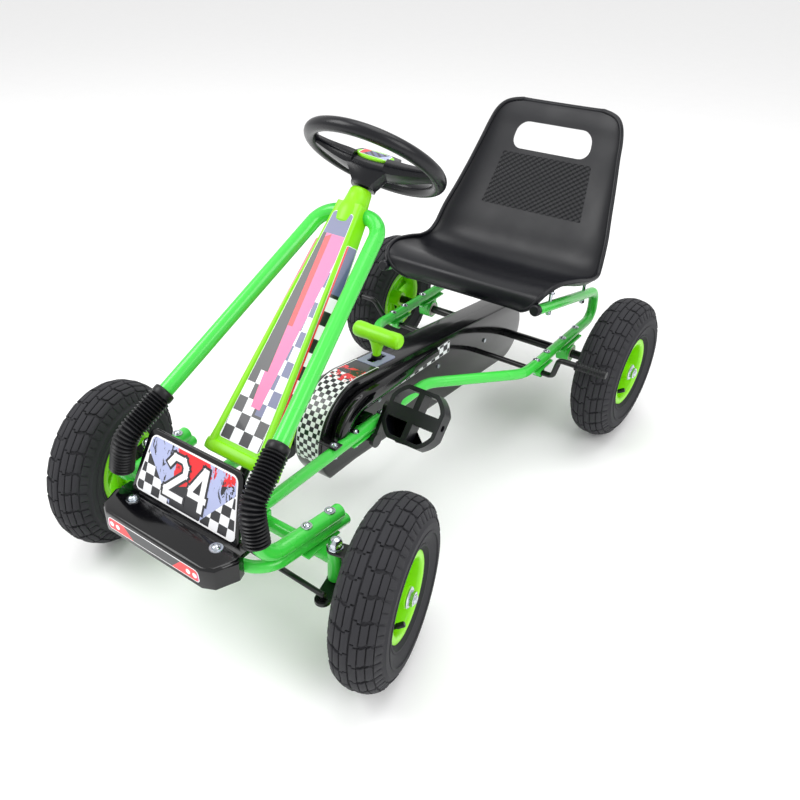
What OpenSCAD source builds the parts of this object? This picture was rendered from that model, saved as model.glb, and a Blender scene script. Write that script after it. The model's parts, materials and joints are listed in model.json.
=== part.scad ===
// Child's pedal go-kart: tube frame, chain drive to a live rear axle,
// wheel steering by a column, two tie rods and two knuckles.
// Millimetres. +X is the driver's left, -Y is forward, +Z is up.
// The origin is on the ground, in the middle of the length and width.
// Lengths are counted from the front axle line, rear ones from the rear
// axle line, and heights from the height of the wheel axles.

/* [Overall] */
// Distance between the front and rear axle lines
wheelbase = 742; // [620:1:900]
// Distance between the front wheel centres, wheels straight ahead
front_track = 499; // [430:1:600]
// Distance between the rear wheel centres
rear_track = 504; // [470:1:610]
// Angle that the front wheels are turned to the left at rest, in degrees
steer_rest = 13.9; // [0:0.1:16]

/* [Wheels] */
// Outer diameter of a tyre
tyre_d = 260; // [216:1:312]
// Width of a tyre
tyre_w = 77; // [64:1:92]
// Outer diameter of a rim flange
rim_d = 124; // [104:1:148]
// Width of a rim over its flanges
rim_w = 58; // [48:1:70]
// Thickness of a tyre's wall
tyre_wall = 9; // [7:0.5:11]
// Radius of the rear axle
axle_r = 8; // [6.5:0.5:9.5]
// Radius of a front stub axle
stub_r = 6; // [5:0.5:7]

/* [Front end] */
// Distance from a kingpin to its wheel's centre
kingpin_offset = 72; // [68:1:86]
// Length of a steering arm, and of the drop arm on the column
steer_arm = 40; // [34:1:46]
// Outer radius of the front hoop's tube
hoop_r = 11; // [9:0.5:12.5]
// Outer radius of the bumper tube
bumper_r = 8.5; // [7:0.5:10]
// Outer radius of the front beam
beam_r = 10; // [8.5:0.5:12]
// Outer radius of a kingpin's head tube
head_r = 10.5; // [9.5:0.5:12]
// Radius of a kingpin
kingpin_r = 6; // [5:0.5:6.5]
// Height of the hoop's lower ends above the axles
hoop_end_z = 60; // [56:1:70]
// How far the bumper reaches ahead of the front axle line
bumper_reach = 150; // [140:1:175]

/* [Steering] */
// Centre of the steering wheel, behind the front axle line
wheel_y = 316; // [300:1:330]
// Centre of the steering wheel, above the axles
wheel_z = 437; // [425:1:450]
// Tilt of the column from upright, in degrees
column_tilt = 38.8; // [38:0.1:39.6]
// Radius of the steering wheel to the middle of its rim
wheel_ring_r = 96; // [80:1:115]
// Radius of the steering wheel's grip
grip_r = 10; // [8:0.5:12]
// Radius of the steering column
column_r = 7; // [6:0.5:7.5]

/* [Side rails and seat] */
// Outer radius of a side rail's tube
rail_r = 9.25; // [8:0.25:10.5]
// Distance from the middle to a rail beside the chain case
rail_near_x = 50; // [48:1:56]
// Distance from the middle to a rail beside the seat
rail_far_x = 155; // [140:1:165]
// Height of the front part of the rails above the axles
rail_z = 49; // [46:1:56]
// Thickness of a frame tube's wall
tube_wall = 1.5; // [1:0.25:2]
// Widest half of the seat
seat_half_w = 180; // [170:1:200]
// Thickness of the moulded seat
seat_wall = 4; // [3:0.5:5]

/* [Drive] */
// Centre of the crank, behind the front axle line
crank_y = 245; // [235:1:260]
// Centre of the crank above the axles
crank_z = 30; // [28:1:32]
// Length of a crank arm
crank_r = 55; // [46:1:60]
// Angle of the left crank arm at rest, up from straight back, in degrees
crank_angle = 57; // [0:1:90]
// Radius of the crank's spindle
spindle_r = 7; // [6:0.5:8]
// Teeth on the crank's chainring
ring_teeth = 20; // [18:1:21]
// Teeth on the rear axle's sprocket
axle_teeth = 16; // [14:1:20]
// Half of the chain case's width
case_half_w = 27; // [24:1:29]
// Width of a pedal along its spindle
pedal_w = 94; // [80:1:110]
// Height of a pedal's block
pedal_h = 88; // [76:1:96]
// Thickness of a pedal's block
pedal_t = 27; // [22:1:32]

/* [Hidden] */
$fn = 48;

// Clearances
fit_gap = 0.05;      // running fit, radial
seat_gap = 0.02;     // a bush in its housing, radial
part_gap = 0.4;      // between plain neighbours
hole_gap = 0.3;      // a bolt in its hole, radial
bolt_r = 3;
bend_lap = 0.4;      // a straight length runs this far into its bend
bend_swell = 0.2;    // a bend is this much fatter, as a pressed bend is
bush_wall = 1.9;

// Overall
tyre_r = tyre_d / 2;
seat_overhang = 183;
mid_y = (wheelbase + seat_overhang - bumper_reach) / 2;
kingpin_x = front_track / 2 - kingpin_offset;

// Column
column_axis = [0, sin(column_tilt), cos(column_tilt)];
column_front = [0, -cos(column_tilt), sin(column_tilt)];
wheel_at = [0, wheel_y, wheel_z];
hub_bottom = 44;     // distances down the column from the steering wheel's centre
top_sleeve_at = 83;
sleeve_half = 14;
low_sleeve_at = 535;
arm_at = 556;
arm_t = 4;
column_len = 573;
column_bore = column_r + fit_gap + 1.3;
sleeve_wall = 2;
pin_eye_r = 8;
drop_pin_r = 3;
eye_h = 8;
eye_gap_below = 2;
eye_gap_above = 4;

// Front frame
bumper_z = hoop_end_z - hoop_r - bumper_r - part_gap;
beam_z = bumper_z - bumper_r - beam_r - part_gap;
beam_y = 5;
saddle_t = 3;
hoop_tail = [147, 52, hoop_end_z];
hoop_foot = [131, -90, hoop_end_z];
hoop_knee = [115, -84, 137];
hoop_top = [50, 269, 371];
hoop_path = concat(
    [hoop_tail, hoop_foot, hoop_knee, hoop_top],
    [for (p = [hoop_top, hoop_knee, hoop_foot, hoop_tail]) [-p.x, p.y, p.z]]);
hoop_bends = [0, 34, 40, 34, 34, 40, 34, 0];
tail_dir = (hoop_tail - hoop_foot) / norm(hoop_tail - hoop_foot);
bumper_tail = at_z(hoop_foot + tail_dir * 155, bumper_z);
bumper_corner = at_z(hoop_foot - tail_dir * 2, bumper_z);
bumper_path = [bumper_tail, bumper_corner, mirrored(bumper_corner), mirrored(bumper_tail)];
bumper_bends = [0, 45, 45, 0];
hoop_bolt_at = [79, 121];      // along the hoop's end from its foot
head_low = -6;
head_high = 42;

// Knuckles
ear_t = 5;
ear_gap = 1;
ear_half = 12;
web_in = head_r + 3;
web_t = 5;
upper_ear_t = 3.5;
axle_nut_face = 41;

// Rails
rail_front_y = -14;
rail_bend_y = 410;
rail_out_y = wheelbase - 182;
rail_low_z = 32;
rail_tail_y = wheelbase + 104;
under_rail_z = rail_low_z - rail_r - part_gap;
seat_rail_low = [rail_far_x, wheelbase + 96, 91];
seat_rail_high = [rail_far_x, wheelbase - 164, 151];
rail_path = [
    [rail_near_x, rail_front_y, rail_z],
    [rail_near_x, rail_bend_y, rail_z],
    [rail_far_x, rail_out_y, rail_low_z + 3],
    [rail_far_x, rail_out_y + 70, rail_low_z],
    [rail_far_x, rail_tail_y, rail_low_z],
    seat_rail_low,
    seat_rail_high];
rail_bends = [0, 60, 60, 60, 24, 24, 0];
seat_rail_dir = (seat_rail_high - seat_rail_low) / norm(seat_rail_high - seat_rail_low);
case_bolt_y = 160;
crank_bolt_dy = 34;
crank_plate_half = 46;
crank_bush_w = 14;
bracket_x = case_half_w + 1;
axle_bolt_dy = 27.5;
lug_bolt_dy = 20;
lug_bolt_lift = 1.6;      // the front lug bolt stands on the rail's slope
lug_y = wheelbase - 113;
seat_bolt_along = [60, 215];   // along the seat rails from their low ends
seat_bolt_x = rail_far_x;

// Rear end
bracket_flange_t = 3;
axle_house_r = 17;
axle_house_w = 24;
bearing_r = 14;

// Brake
brake_rod_r = 5;
brake_y = wheelbase - 117;
brake_z = 10;
brake_grip_y = wheelbase - 137;
brake_grip_z = 57;
brake_arm_x = rail_far_x + 27;
brake_grip_in = rear_track / 2 - 24;
brake_grip_out = rear_track / 2 + 31;
brake_grip_r = 7.5;

// Chain drive
pitch = 12.7;
function pitch_r(teeth) = pitch / (2 * sin(180 / teeth));
tip_h = 2;
chain_gap = 0.8;
chain_h = 6.5;
chain_w = 8;
sprocket_t = 3;
roller_r = 3.9;
case_wall = 2.2;
case_nose_r = 88;
case_tail_r = 60;
case_floor = -25;
arch_out = 73;
arch_in = 44;
arch_x = 47;
case_tab_t = 3;
lever_y = crank_y + 89;
lever_pivot_z = 86;
lever_grip_z = 155;
lever_slot_half = 22;

// Crank and pedals
arm_in_x = rail_near_x + rail_r + 2;
arm_w = 7;
pedal_in_x = arm_in_x + arm_w + 2;
pedal_pin_r = 5;
arm_boss_r = 12;
arm_eye_r = 9;
arm_half = 8;
arm_relief = 0.5;    // the arm is this much thinner than its two ends, each side
crank_left = crank_r * [0, cos(crank_angle), sin(crank_angle)];
pedal_face_tilt = 50;
pedal_rim = 7;
pedal_rib_x = 5;     // half widths of the two ribs that cross a pedal
pedal_rib_y = 11;

// Seat stations: y and z of the middle line from the rear axle, the share of the
// widest half, and how far the side edge stands forward of the middle.
seat_stations = [
    [-146, 132, 0.66, 2], [-158, 150, 0.78, 4], [-152, 170, 0.88, 8],
    [-117, 172, 0.93, 13], [-62, 154, 0.97, 20], [-7, 135, 1.00, 24],
    [33, 133, 1.00, 26], [61, 153, 0.98, 26], [82, 190, 0.95, 24],
    [105, 232, 0.89, 20], [128, 278, 0.83, 16], [149, 325, 0.77, 13],
    [165, 368, 0.70, 9], [175, 396, 0.54, 4], [183, 399, 0.50, 2]];
seat_across = 12;
handle_half = 54;
handle_r = 26;
handle_z = 338;

// Bumper tube and its tabs
bumper_tab_x = 78;
bumper_tab_y = -112;
bumper_top_z = 70;

// Bellows boots on the hoop
boot_top = hoop_knee + unit(hoop_top - hoop_knee) * 85;
boot_low = hoop_foot + unit(hoop_knee - hoop_foot) * 37;
boot_r = 16;
boot_root = 14;
boot_pitch = 6;

// Bumper cover: a leaning panel above a low nose
panel_low = [-97, 66];         // y and z of the panel's outer face
panel_high = [-60, 157];
panel_t = 4;
panel_low_half = 100;
panel_high_half = 84;
panel_corner = 12;
nose_top = bumper_top_z;
nose_floor = 36;
nose_back = -102;
nose_plan = [[-88, -bumper_reach], [88, -bumper_reach], [104, -142], [116, -112], [112, nose_back],
    [-112, nose_back], [-116, -112], [-104, -142]];
ledge_back = -86;
panel_len = norm(panel_high - panel_low);

// Nose fairing
fairing_low = [-2, 104];       // y and z of the front face's lower edge
fairing_high = [258, 392];
fairing_len = norm(fairing_high - fairing_low);
fairing_low_half = 44;
fairing_high_half = 19;
fairing_depth = 22;
fairing_low_flare = 70;
fairing_high_flare = 24;
fairing_wall = 2.5;

// Chain
chain_ring_r = pitch_r(ring_teeth) + tip_h + chain_gap;
chain_axle_r = pitch_r(axle_teeth) + tip_h + chain_gap;

// Drive lever
lever_boss_x = 10;
lever_pin_r = 4;

// Case screws, as y and z
screw_spots = [[crank_y + 60, 60], [crank_y + 240, 40], [wheelbase - 90, 20], [crank_y + 150, -12]];

// Rims and hubs
barrel_r = rim_d / 2 - 8;
bead_gap = 0.3;
hub_half = 30;
hub_r = 15;
spoke_count = 5;
rim_t = 3;
bush_r = stub_r + fit_gap + 4;

// Tie rods
tie_pin_r = 3.5;
tie_r = 4;
tie_z = head_low - ear_gap + tie_r + 2.5;
tie_ball_r = tie_r + 0.6;
eye_play = 2;        // radial play of an eye on the drop arm's pin
ear_low = head_low - ear_gap - ear_t;
ear_high = head_high + ear_gap + upper_ear_t;

// Steering wheel hub
hub_top = 3;
hub_half_x = 36;
insert_x = 27;
insert_y = 17;

// Brake bar
brake_path = [
    [brake_grip_out - 4, brake_grip_y, brake_grip_z],
    [brake_arm_x + 16, brake_grip_y, brake_grip_z],
    [brake_arm_x, brake_y, brake_z],
    [-brake_arm_x, brake_y, brake_z],
    [-brake_arm_x - 16, brake_grip_y, brake_grip_z],
    [-brake_grip_out + 4, brake_grip_y, brake_grip_z]];
seat_rows = len(seat_stations);

// ---------- helpers ----------

function at_z(p, z) = [p.x, p.y, z];
function mirrored(p) = [-p.x, p.y, p.z];
function unit(v) = v / norm(v);
function turn_between(a, b) = acos(min(1, max(-1, a * b)));
function column_point(s) = wheel_at - column_axis * s;
function stretched(path, extra) =
    let (last = len(path) - 1)
    [for (i = [0:last])
        i == 0 ? path[0] + unit(path[0] - path[1]) * extra
        : i == last ? path[last] + unit(path[last] - path[last - 1]) * extra
        : path[i]];

// Everything is drawn from the front axle line and lifted onto its wheels.
module kart() translate([0, -mid_y, tyre_r]) children();

// Points local +Z along d, starting at p.
module aim(p, d) {
    u = unit(d);
    translate(p) rotate([0, acos(u.z), atan2(u.y, u.x)]) children();
}

// Local frame on the column: +Z up the column, +Y forward, at distance s down it.
module on_column(s)
    translate(column_point(s)) rotate([-column_tilt, 0, 0]) rotate([0, 0, 180]) children();

module rod(a, b, r) aim(a, b - a) cylinder(r = r, h = norm(b - a));

// A round bend from direction d1 to d2 that starts at point p.
module bend(p, d1, d2, bend_r, r) {
    side = unit(d2 - (d2 * d1) * d1);
    up = cross(d1, side);
    c = p + side * bend_r;
    multmatrix([
        [-side.x, d1.x, up.x, c.x],
        [-side.y, d1.y, up.y, c.y],
        [-side.z, d1.z, up.z, c.z]])
        rotate_extrude(angle = turn_between(d1, d2))
            translate([bend_r, 0]) circle(r = r + bend_swell);
}

// A rod along a path of corners, each rounded to its own bend radius.
module bent_rod(path, bends, r) {
    last = len(path) - 1;
    dirs = [for (i = [0:last - 1]) unit(path[i + 1] - path[i])];
    cut = [for (i = [0:last])
        (i == 0 || i == last) ? 0 : bends[i] * tan(turn_between(dirs[i - 1], dirs[i]) / 2)];
    lap = [for (i = [0:last]) (i == 0 || i == last) ? 0 : bend_lap];
    for (i = [0:last - 1])
        rod(path[i] + dirs[i] * (cut[i] - lap[i]), path[i + 1] - dirs[i] * (cut[i + 1] - lap[i + 1]), r);
    for (i = [1:last - 1])
        bend(path[i] - dirs[i - 1] * cut[i], dirs[i - 1], dirs[i], bends[i], r);
}

module bent_tube(path, bends, r, wall, end_wall = 0)
    difference() {
        bent_rod(path, bends, r);
        bent_rod(stretched(path, end_wall > 0 ? -end_wall : 1), bends, r - wall);
    }

module ring(r_out, r_in, h)
    difference() {
        cylinder(r = r_out, h = h);
        translate([0, 0, -1]) cylinder(r = r_in, h = h + 2);
    }

// A hexagon bolt: the underside of its head is at z = 0 and it points down,
// with a washer under the head and a nut grip below it.
module bolt(grip, r = bolt_r) {
    cylinder(r = r * 2.1, h = r * 0.35);
    translate([0, 0, r * 0.35]) cylinder(r = r * 1.75, h = r * 1.2, $fn = 6);
    translate([0, 0, -grip - r * 2.2]) cylinder(r = r, h = grip + r * 2.2 + 0.1);
    translate([0, 0, -grip - r * 1.7]) cylinder(r = r * 1.75, h = r * 1.7, $fn = 6);
}

module both_sides() {
    children();
    mirror([1, 0, 0]) children();
}

// ---------- frame ----------

function hoop_bolt_xy(i) = let (p = hoop_foot + tail_dir * hoop_bolt_at[i]) [p.x, p.y];

module hoop_bolt_holes(low, high)
    both_sides() for (i = [0, 1])
        translate([hoop_bolt_xy(i).x, hoop_bolt_xy(i).y, low])
            cylinder(r = bolt_r + hole_gap, h = high - low);

module front_hoop()
    kart() color("limegreen") difference() {
        union() {
            bent_tube(hoop_path, hoop_bends, hoop_r, tube_wall, 2);
            on_column(top_sleeve_at)
                translate([0, 0, -sleeve_half])
                    cylinder(r = column_bore + sleeve_wall, h = 2 * sleeve_half);
        }
        on_column(top_sleeve_at)
            translate([0, 0, -sleeve_half - 20]) cylinder(r = column_bore, h = 2 * sleeve_half + 40);
        hoop_bolt_holes(hoop_end_z - hoop_r - 2, hoop_end_z + hoop_r + 2);
    }

module bumper_tube()
    kart() color("limegreen") difference() {
        union() {
            bent_tube(bumper_path, bumper_bends, bumper_r, tube_wall, 2);
            both_sides()
                translate([bumper_tab_x - 9, bumper_tab_y - 9, bumper_z + bumper_r - 3])
                    cube([18, bumper_corner.y - bumper_tab_y + 9, 3]);
        }
        hoop_bolt_holes(bumper_z - bumper_r - 2, bumper_z + bumper_r + 2);
        both_sides()
            translate([bumper_tab_x, bumper_tab_y, bumper_z])
                cylinder(r = bolt_r + hole_gap, h = 20);
    }

module front_beam()
    kart() color("limegreen") difference() {
        union() {
            difference() {
                rod([-kingpin_x, beam_y, beam_z], [kingpin_x, beam_y, beam_z], beam_r);
                rod([-kingpin_x, beam_y, beam_z], [kingpin_x, beam_y, beam_z], beam_r - tube_wall);
            }
            both_sides() {
                translate([kingpin_x, 0, head_low]) cylinder(r = head_r, h = head_high - head_low);
                translate([hoop_bolt_xy(0).x - 10, hoop_bolt_xy(0).y - 12, beam_z + beam_r - saddle_t])
                    cube([26, hoop_bolt_xy(1).y - hoop_bolt_xy(0).y + 24, saddle_t]);
                translate([rail_near_x - 7, beam_y - 7, beam_z + beam_r - 4])
                    cube([14, 14, rail_z - rail_r - part_gap - beam_z - beam_r + 4]);
            }
            on_column(low_sleeve_at)
                translate([0, 0, -sleeve_half])
                    cylinder(r = column_bore + sleeve_wall, h = 2 * sleeve_half);
        }
        both_sides()
            translate([kingpin_x, 0, head_low - 1])
                cylinder(r = kingpin_r + fit_gap + bush_wall, h = head_high - head_low + 2);
        on_column(low_sleeve_at)
            translate([0, 0, -sleeve_half - 1]) cylinder(r = column_bore, h = 2 * sleeve_half + 2);
        hoop_bolt_holes(beam_z, beam_z + beam_r + 2);
    }

module rail_hole(y, z)
    translate([0, y, z - rail_r - 2]) cylinder(r = bolt_r + hole_gap, h = 2 * rail_r + 4);

module side_rail()
    difference() {
        bent_tube(rail_path, rail_bends, rail_r, tube_wall);
        translate([rail_near_x, 0, 0]) {
            rail_hole(beam_y, rail_z);
            rail_hole(case_bolt_y, rail_z);
            for (s = [-1, 1]) rail_hole(crank_y + s * crank_bolt_dy, rail_z);
        }
        translate([rail_far_x, 0, 0]) {
            for (s = [-1, 1]) {
                rail_hole(wheelbase + s * axle_bolt_dy, rail_low_z);
                rail_hole(lug_y + s * lug_bolt_dy, rail_low_z);
            }
            for (s = seat_bolt_along)
                translate([0, seat_bolt_at(s).y, seat_bolt_at(s).z - 16])
                    cylinder(r = bolt_r + hole_gap, h = 32);
        }
    }

module side_rail_left() kart() color("limegreen") side_rail();
module side_rail_right() kart() color("limegreen") mirror([1, 0, 0]) side_rail();

module rail_plugs()
    kart() color("black") both_sides() {
        aim(seat_rail_high, seat_rail_dir) {
            cylinder(r = rail_r + 0.5, h = 9);
            translate([0, 0, 9]) cylinder(r1 = rail_r + 0.5, r2 = rail_r - 1.5, h = 3);
            translate([0, 0, -14]) cylinder(r = rail_r - tube_wall - seat_gap, h = 14.5);
        }
        translate([rail_near_x, rail_front_y, rail_z]) rotate([90, 0, 0]) {
            cylinder(r = rail_r, h = 2);
            translate([0, 0, -9]) cylinder(r = rail_r - tube_wall - seat_gap, h = 9.5);
        }
    }

module hoop_bolts()
    kart() color("silver") both_sides() for (i = [0, 1])
        translate([hoop_bolt_xy(i).x, hoop_bolt_xy(i).y, hoop_end_z + hoop_r])
            bolt(hoop_end_z + hoop_r - beam_z - beam_r + saddle_t);

module rail_bolts()
    kart() color("silver") both_sides() {
        translate([rail_near_x, beam_y, rail_z + rail_r]) bolt(2 * rail_r - tube_wall - 9);
        translate([rail_near_x, case_bolt_y, rail_z + rail_r + case_tab_t + part_gap])
            bolt(2 * rail_r + case_tab_t + part_gap);
        for (s = [-1, 1]) {
            translate([rail_near_x, crank_y + s * crank_bolt_dy, rail_z + rail_r])
                bolt(2 * rail_r + part_gap + bracket_flange_t);
            translate([rail_far_x, wheelbase + s * axle_bolt_dy, rail_low_z + rail_r])
                bolt(2 * rail_r + part_gap + bracket_flange_t);
            translate([rail_far_x, lug_y + s * lug_bolt_dy, rail_low_z + rail_r + lug_bolt_lift])
                bolt(2 * rail_r + part_gap + bracket_flange_t + lug_bolt_lift);
        }
    }

module kingpin_bushes()
    kart() color("white") both_sides() for (z = [head_low, head_high - 14])
        translate([kingpin_x, 0, z])
            ring(kingpin_r + fit_gap + bush_wall - seat_gap, kingpin_r + fit_gap, 14);

module column_bushes()
    kart() color("dimgray") for (s = [top_sleeve_at, low_sleeve_at])
        on_column(s) translate([0, 0, -sleeve_half])
            ring(column_bore - seat_gap, column_r + fit_gap, 2 * sleeve_half);

// ---------- covers ----------

module boot() {
    leg_up = unit(boot_top - hoop_knee);
    leg_down = unit(boot_low - hoop_knee);
    path = [boot_top, hoop_knee, boot_low];
    reach = hoop_bends[2] * tan(turn_between(-leg_up, leg_down) / 2);
    difference() {
        union() {
            bent_rod(path, [0, hoop_bends[2], 0], boot_root);
            for (s = [0:boot_pitch:norm(boot_top - hoop_knee) - reach - boot_pitch])
                aim(boot_top - leg_up * (s + boot_pitch), leg_up) cylinder(r = boot_r, h = boot_pitch / 2);
            for (s = [0:boot_pitch:norm(boot_low - hoop_knee) - reach - boot_pitch])
                aim(boot_low - leg_down * s, -leg_down) cylinder(r = boot_r, h = boot_pitch / 2);
        }
        bent_rod(stretched(path, 1), [0, hoop_bends[2], 0], hoop_r + part_gap / 2);
    }
}

module boot_left() kart() color([0.09, 0.09, 0.1]) boot();
module boot_right() kart() color([0.09, 0.09, 0.1]) mirror([1, 0, 0]) boot();

// The bumper cover: a leaning number panel above a low nose shell.

module in_panel()
    translate([0, panel_low.x, panel_low.y])
        rotate([atan2(panel_high.y - panel_low.y, panel_high.x - panel_low.x), 0, 0]) children();

module panel_shape(inset, t)
    hull() for (side = [-1, 1]) {
        in_by = panel_corner + inset;
        translate([side * (panel_low_half - in_by), in_by, 0])
            cylinder(r = panel_corner, h = t, $fn = 32);
        translate([side * (panel_high_half - in_by), panel_len - in_by, 0])
            cylinder(r = panel_corner, h = t, $fn = 32);
    }

module bumper_cover()
    kart() color([0.07, 0.07, 0.08]) difference() {
        union() {
            in_panel() panel_shape(0, panel_t);
            difference() {
                translate([0, 0, nose_floor]) linear_extrude(nose_top - nose_floor) polygon(nose_plan);
                translate([0, 0, nose_floor - 1])
                    linear_extrude(nose_top - nose_floor - 2) offset(delta = -3) polygon(nose_plan);
            }
            translate([-112, nose_back - 4, nose_top - 3]) cube([224, ledge_back - nose_back + 4, 3]);
        }
        both_sides() {
            translate([bumper_tab_x, bumper_tab_y, nose_top - 10]) cylinder(r = bolt_r + hole_gap, h = 20);
            translate([bumper_tab_x - 9 - part_gap, nose_back - 6, bumper_z + bumper_r - 3 - part_gap])
                cube([18 + 2 * part_gap, 12, 3 + 2 * part_gap]);
        }
    }

module bumper_bolts()
    kart() color("silver") both_sides()
        translate([bumper_tab_x, bumper_tab_y, nose_top])
            bolt(nose_top - bumper_z - bumper_r + 3);

module bumper_sticker()
    kart() color("white") in_panel() translate([0, 0, panel_t + 0.1]) panel_shape(8, 0.5);

// The nose fairing: a thin channel that widens downwards, open at the back.

module in_fairing()
    translate([0, fairing_low.x, fairing_low.y])
        rotate([atan2(fairing_high.y - fairing_low.y, fairing_high.x - fairing_low.x), 0, 0]) children();

module fairing_face(low_half, high_half, extra)
    polygon([
        [-low_half, -extra], [low_half, -extra],
        [high_half, fairing_len + extra], [-high_half, fairing_len + extra]]);

module fairing_block(inset, back)
    hull() {
        translate([0, 0, -inset]) linear_extrude(0.01)
            fairing_face(fairing_low_half - inset, fairing_high_half - inset, inset);
        translate([0, 0, -fairing_depth - back]) linear_extrude(0.01)
            fairing_face(fairing_low_flare - inset, fairing_high_flare - inset, inset);
    }

module nose_fairing()
    kart() color([0.62, 0.93, 0.05]) difference() {
        in_fairing() difference() {
            fairing_block(0, 0);
            fairing_block(fairing_wall, 1);
        }
        bent_rod(hoop_path, hoop_bends, hoop_r + part_gap);
    }

// ---------- chain case ----------

module case_outline(inset)
    union() {
        intersection() {
            translate([crank_y, crank_z + 5]) circle(r = case_nose_r - inset, $fn = 96);
            translate([crank_y - 150, case_floor + inset]) square([300, 300]);
        }
        polygon([
            [crank_y, crank_z + 5 + case_nose_r - inset],
            [wheelbase, case_tail_r - inset],
            [wheelbase, -case_tail_r + inset],
            [crank_y, case_floor + inset]]);
        translate([wheelbase, 0]) circle(r = case_tail_r - inset, $fn = 64);
    }

// Stands a drawing of y and z up in the kart, from x = x0 to x0 + w.
module slab(x0, w) translate([x0, 0, 0]) rotate([90, 0, 90]) linear_extrude(w) children();

module case_half()
    difference() {
        union() {
            difference() {
                slab(part_gap / 4, case_half_w - part_gap / 4) case_outline(0);
                slab(-1, case_half_w + 1 - case_wall) case_outline(case_wall);
            }
            intersection() {
                translate([case_half_w - 0.1, crank_y, crank_z + 5]) rotate([0, 90, 0])
                    ring(arch_out, arch_in, arch_x - case_half_w);
                translate([case_half_w - 1, crank_y - 100, rail_z + rail_r + part_gap + 6])
                    cube([40, 100, 100]);
            }
            translate([case_half_w - 0.1, case_bolt_y - 9, rail_z + rail_r + part_gap])
                cube([rail_near_x - case_half_w + 9, 18, case_tab_t]);
            translate([lever_boss_x, lever_y, lever_pivot_z]) rotate([0, 90, 0])
                cylinder(r = 8, h = case_half_w - lever_boss_x - 1);
        }
        translate([0, crank_y, crank_z]) rotate([0, 90, 0]) cylinder(r = 19, h = 60);
        translate([0, wheelbase, 0]) rotate([0, 90, 0]) cylinder(r = axle_r + 4, h = 60);
        translate([0, brake_y, brake_z]) rotate([0, 90, 0]) cylinder(r = brake_rod_r + 1, h = 60);
        translate([rail_near_x, case_bolt_y, rail_z]) cylinder(r = bolt_r + hole_gap, h = 30);
        translate([-1, lever_y - lever_slot_half, 90]) cube([10, 2 * lever_slot_half, 60]);
        translate([lever_boss_x - 1, lever_y, lever_pivot_z]) rotate([0, 90, 0])
            cylinder(r = lever_pin_r + seat_gap, h = case_half_w - lever_boss_x - 2);
    }

module case_left() kart() color([0.08, 0.08, 0.09]) case_half();
module case_right() kart() color([0.08, 0.08, 0.09]) mirror([1, 0, 0]) case_half();

module case_screws()
    kart() color("silver") both_sides() for (p = screw_spots)
        translate([case_half_w + 0.05, p.x, p.y]) rotate([0, 90, 0]) cylinder(r = 4, h = 2.2);

module lever_pin()
    kart() color("silver")
        translate([-case_half_w + case_wall + 1.5, lever_y, lever_pivot_z]) rotate([0, 90, 0])
            cylinder(r = lever_pin_r, h = 2 * (case_half_w - case_wall - 1.5));

module chain_line(extra)
    hull() {
        translate([crank_y, crank_z]) circle(r = chain_ring_r + extra, $fn = 64);
        translate([wheelbase, 0]) circle(r = chain_axle_r + extra, $fn = 64);
    }

module chain()
    kart() color([0.35, 0.33, 0.3]) difference() {
        slab(-chain_w / 2, chain_w) chain_line(chain_h);
        slab(-chain_w / 2 - 1, chain_w + 2) chain_line(0);
    }

module crank_bracket() {
    top = rail_z - rail_r - part_gap;
    difference() {
        union() {
            translate([bracket_x, crank_y - crank_plate_half, crank_z - 6])
                cube([bracket_flange_t, 2 * crank_plate_half, top - crank_z + 6]);
            translate([bracket_x, crank_y - crank_plate_half, top - bracket_flange_t])
                cube([rail_near_x + 8 - bracket_x, 2 * crank_plate_half, bracket_flange_t]);
            translate([bracket_x, crank_y, crank_z]) rotate([0, 90, 0])
                cylinder(r = spindle_r + fit_gap + bush_wall + 2.5, h = crank_bush_w);
        }
        translate([0, crank_y, crank_z]) rotate([0, 90, 0])
            cylinder(r = spindle_r + fit_gap + bush_wall, h = 80);
        for (s = [-1, 1])
            translate([rail_near_x, crank_y + s * crank_bolt_dy, 0])
                cylinder(r = bolt_r + hole_gap, h = 60);
    }
}

module crank_bracket_left() kart() color([0.12, 0.12, 0.13]) crank_bracket();
module crank_bracket_right() kart() color([0.12, 0.12, 0.13]) mirror([1, 0, 0]) crank_bracket();

module crank_bushes()
    kart() color("white") both_sides()
        translate([bracket_x, crank_y, crank_z]) rotate([0, 90, 0])
            ring(spindle_r + fit_gap + bush_wall - seat_gap, spindle_r + fit_gap, crank_bush_w);

// ---------- rear end ----------

module axle_bracket()
    difference() {
        union() {
            translate([rail_far_x - 11, wheelbase - axle_bolt_dy - 12, under_rail_z - bracket_flange_t])
                cube([22, 2 * axle_bolt_dy + 24, bracket_flange_t]);
            translate([rail_far_x - 8, wheelbase - axle_house_r, 0])
                cube([16, 2 * axle_house_r, under_rail_z - 1]);
            translate([rail_far_x - axle_house_w / 2, wheelbase, 0]) rotate([0, 90, 0])
                cylinder(r = axle_house_r, h = axle_house_w);
        }
        translate([rail_far_x - axle_house_w, wheelbase, 0]) rotate([0, 90, 0])
            cylinder(r = bearing_r, h = 2 * axle_house_w);
        for (s = [-1, 1])
            translate([rail_far_x, wheelbase + s * axle_bolt_dy, 0])
                cylinder(r = bolt_r + hole_gap, h = 60);
    }

module axle_bracket_left() kart() color([0.12, 0.12, 0.13]) axle_bracket();
module axle_bracket_right() kart() color([0.12, 0.12, 0.13]) mirror([1, 0, 0]) axle_bracket();

module axle_bearings()
    kart() color("gray") both_sides()
        translate([rail_far_x - axle_house_w / 2, wheelbase, 0]) rotate([0, 90, 0])
            ring(bearing_r - seat_gap, axle_r + fit_gap, axle_house_w);

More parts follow.
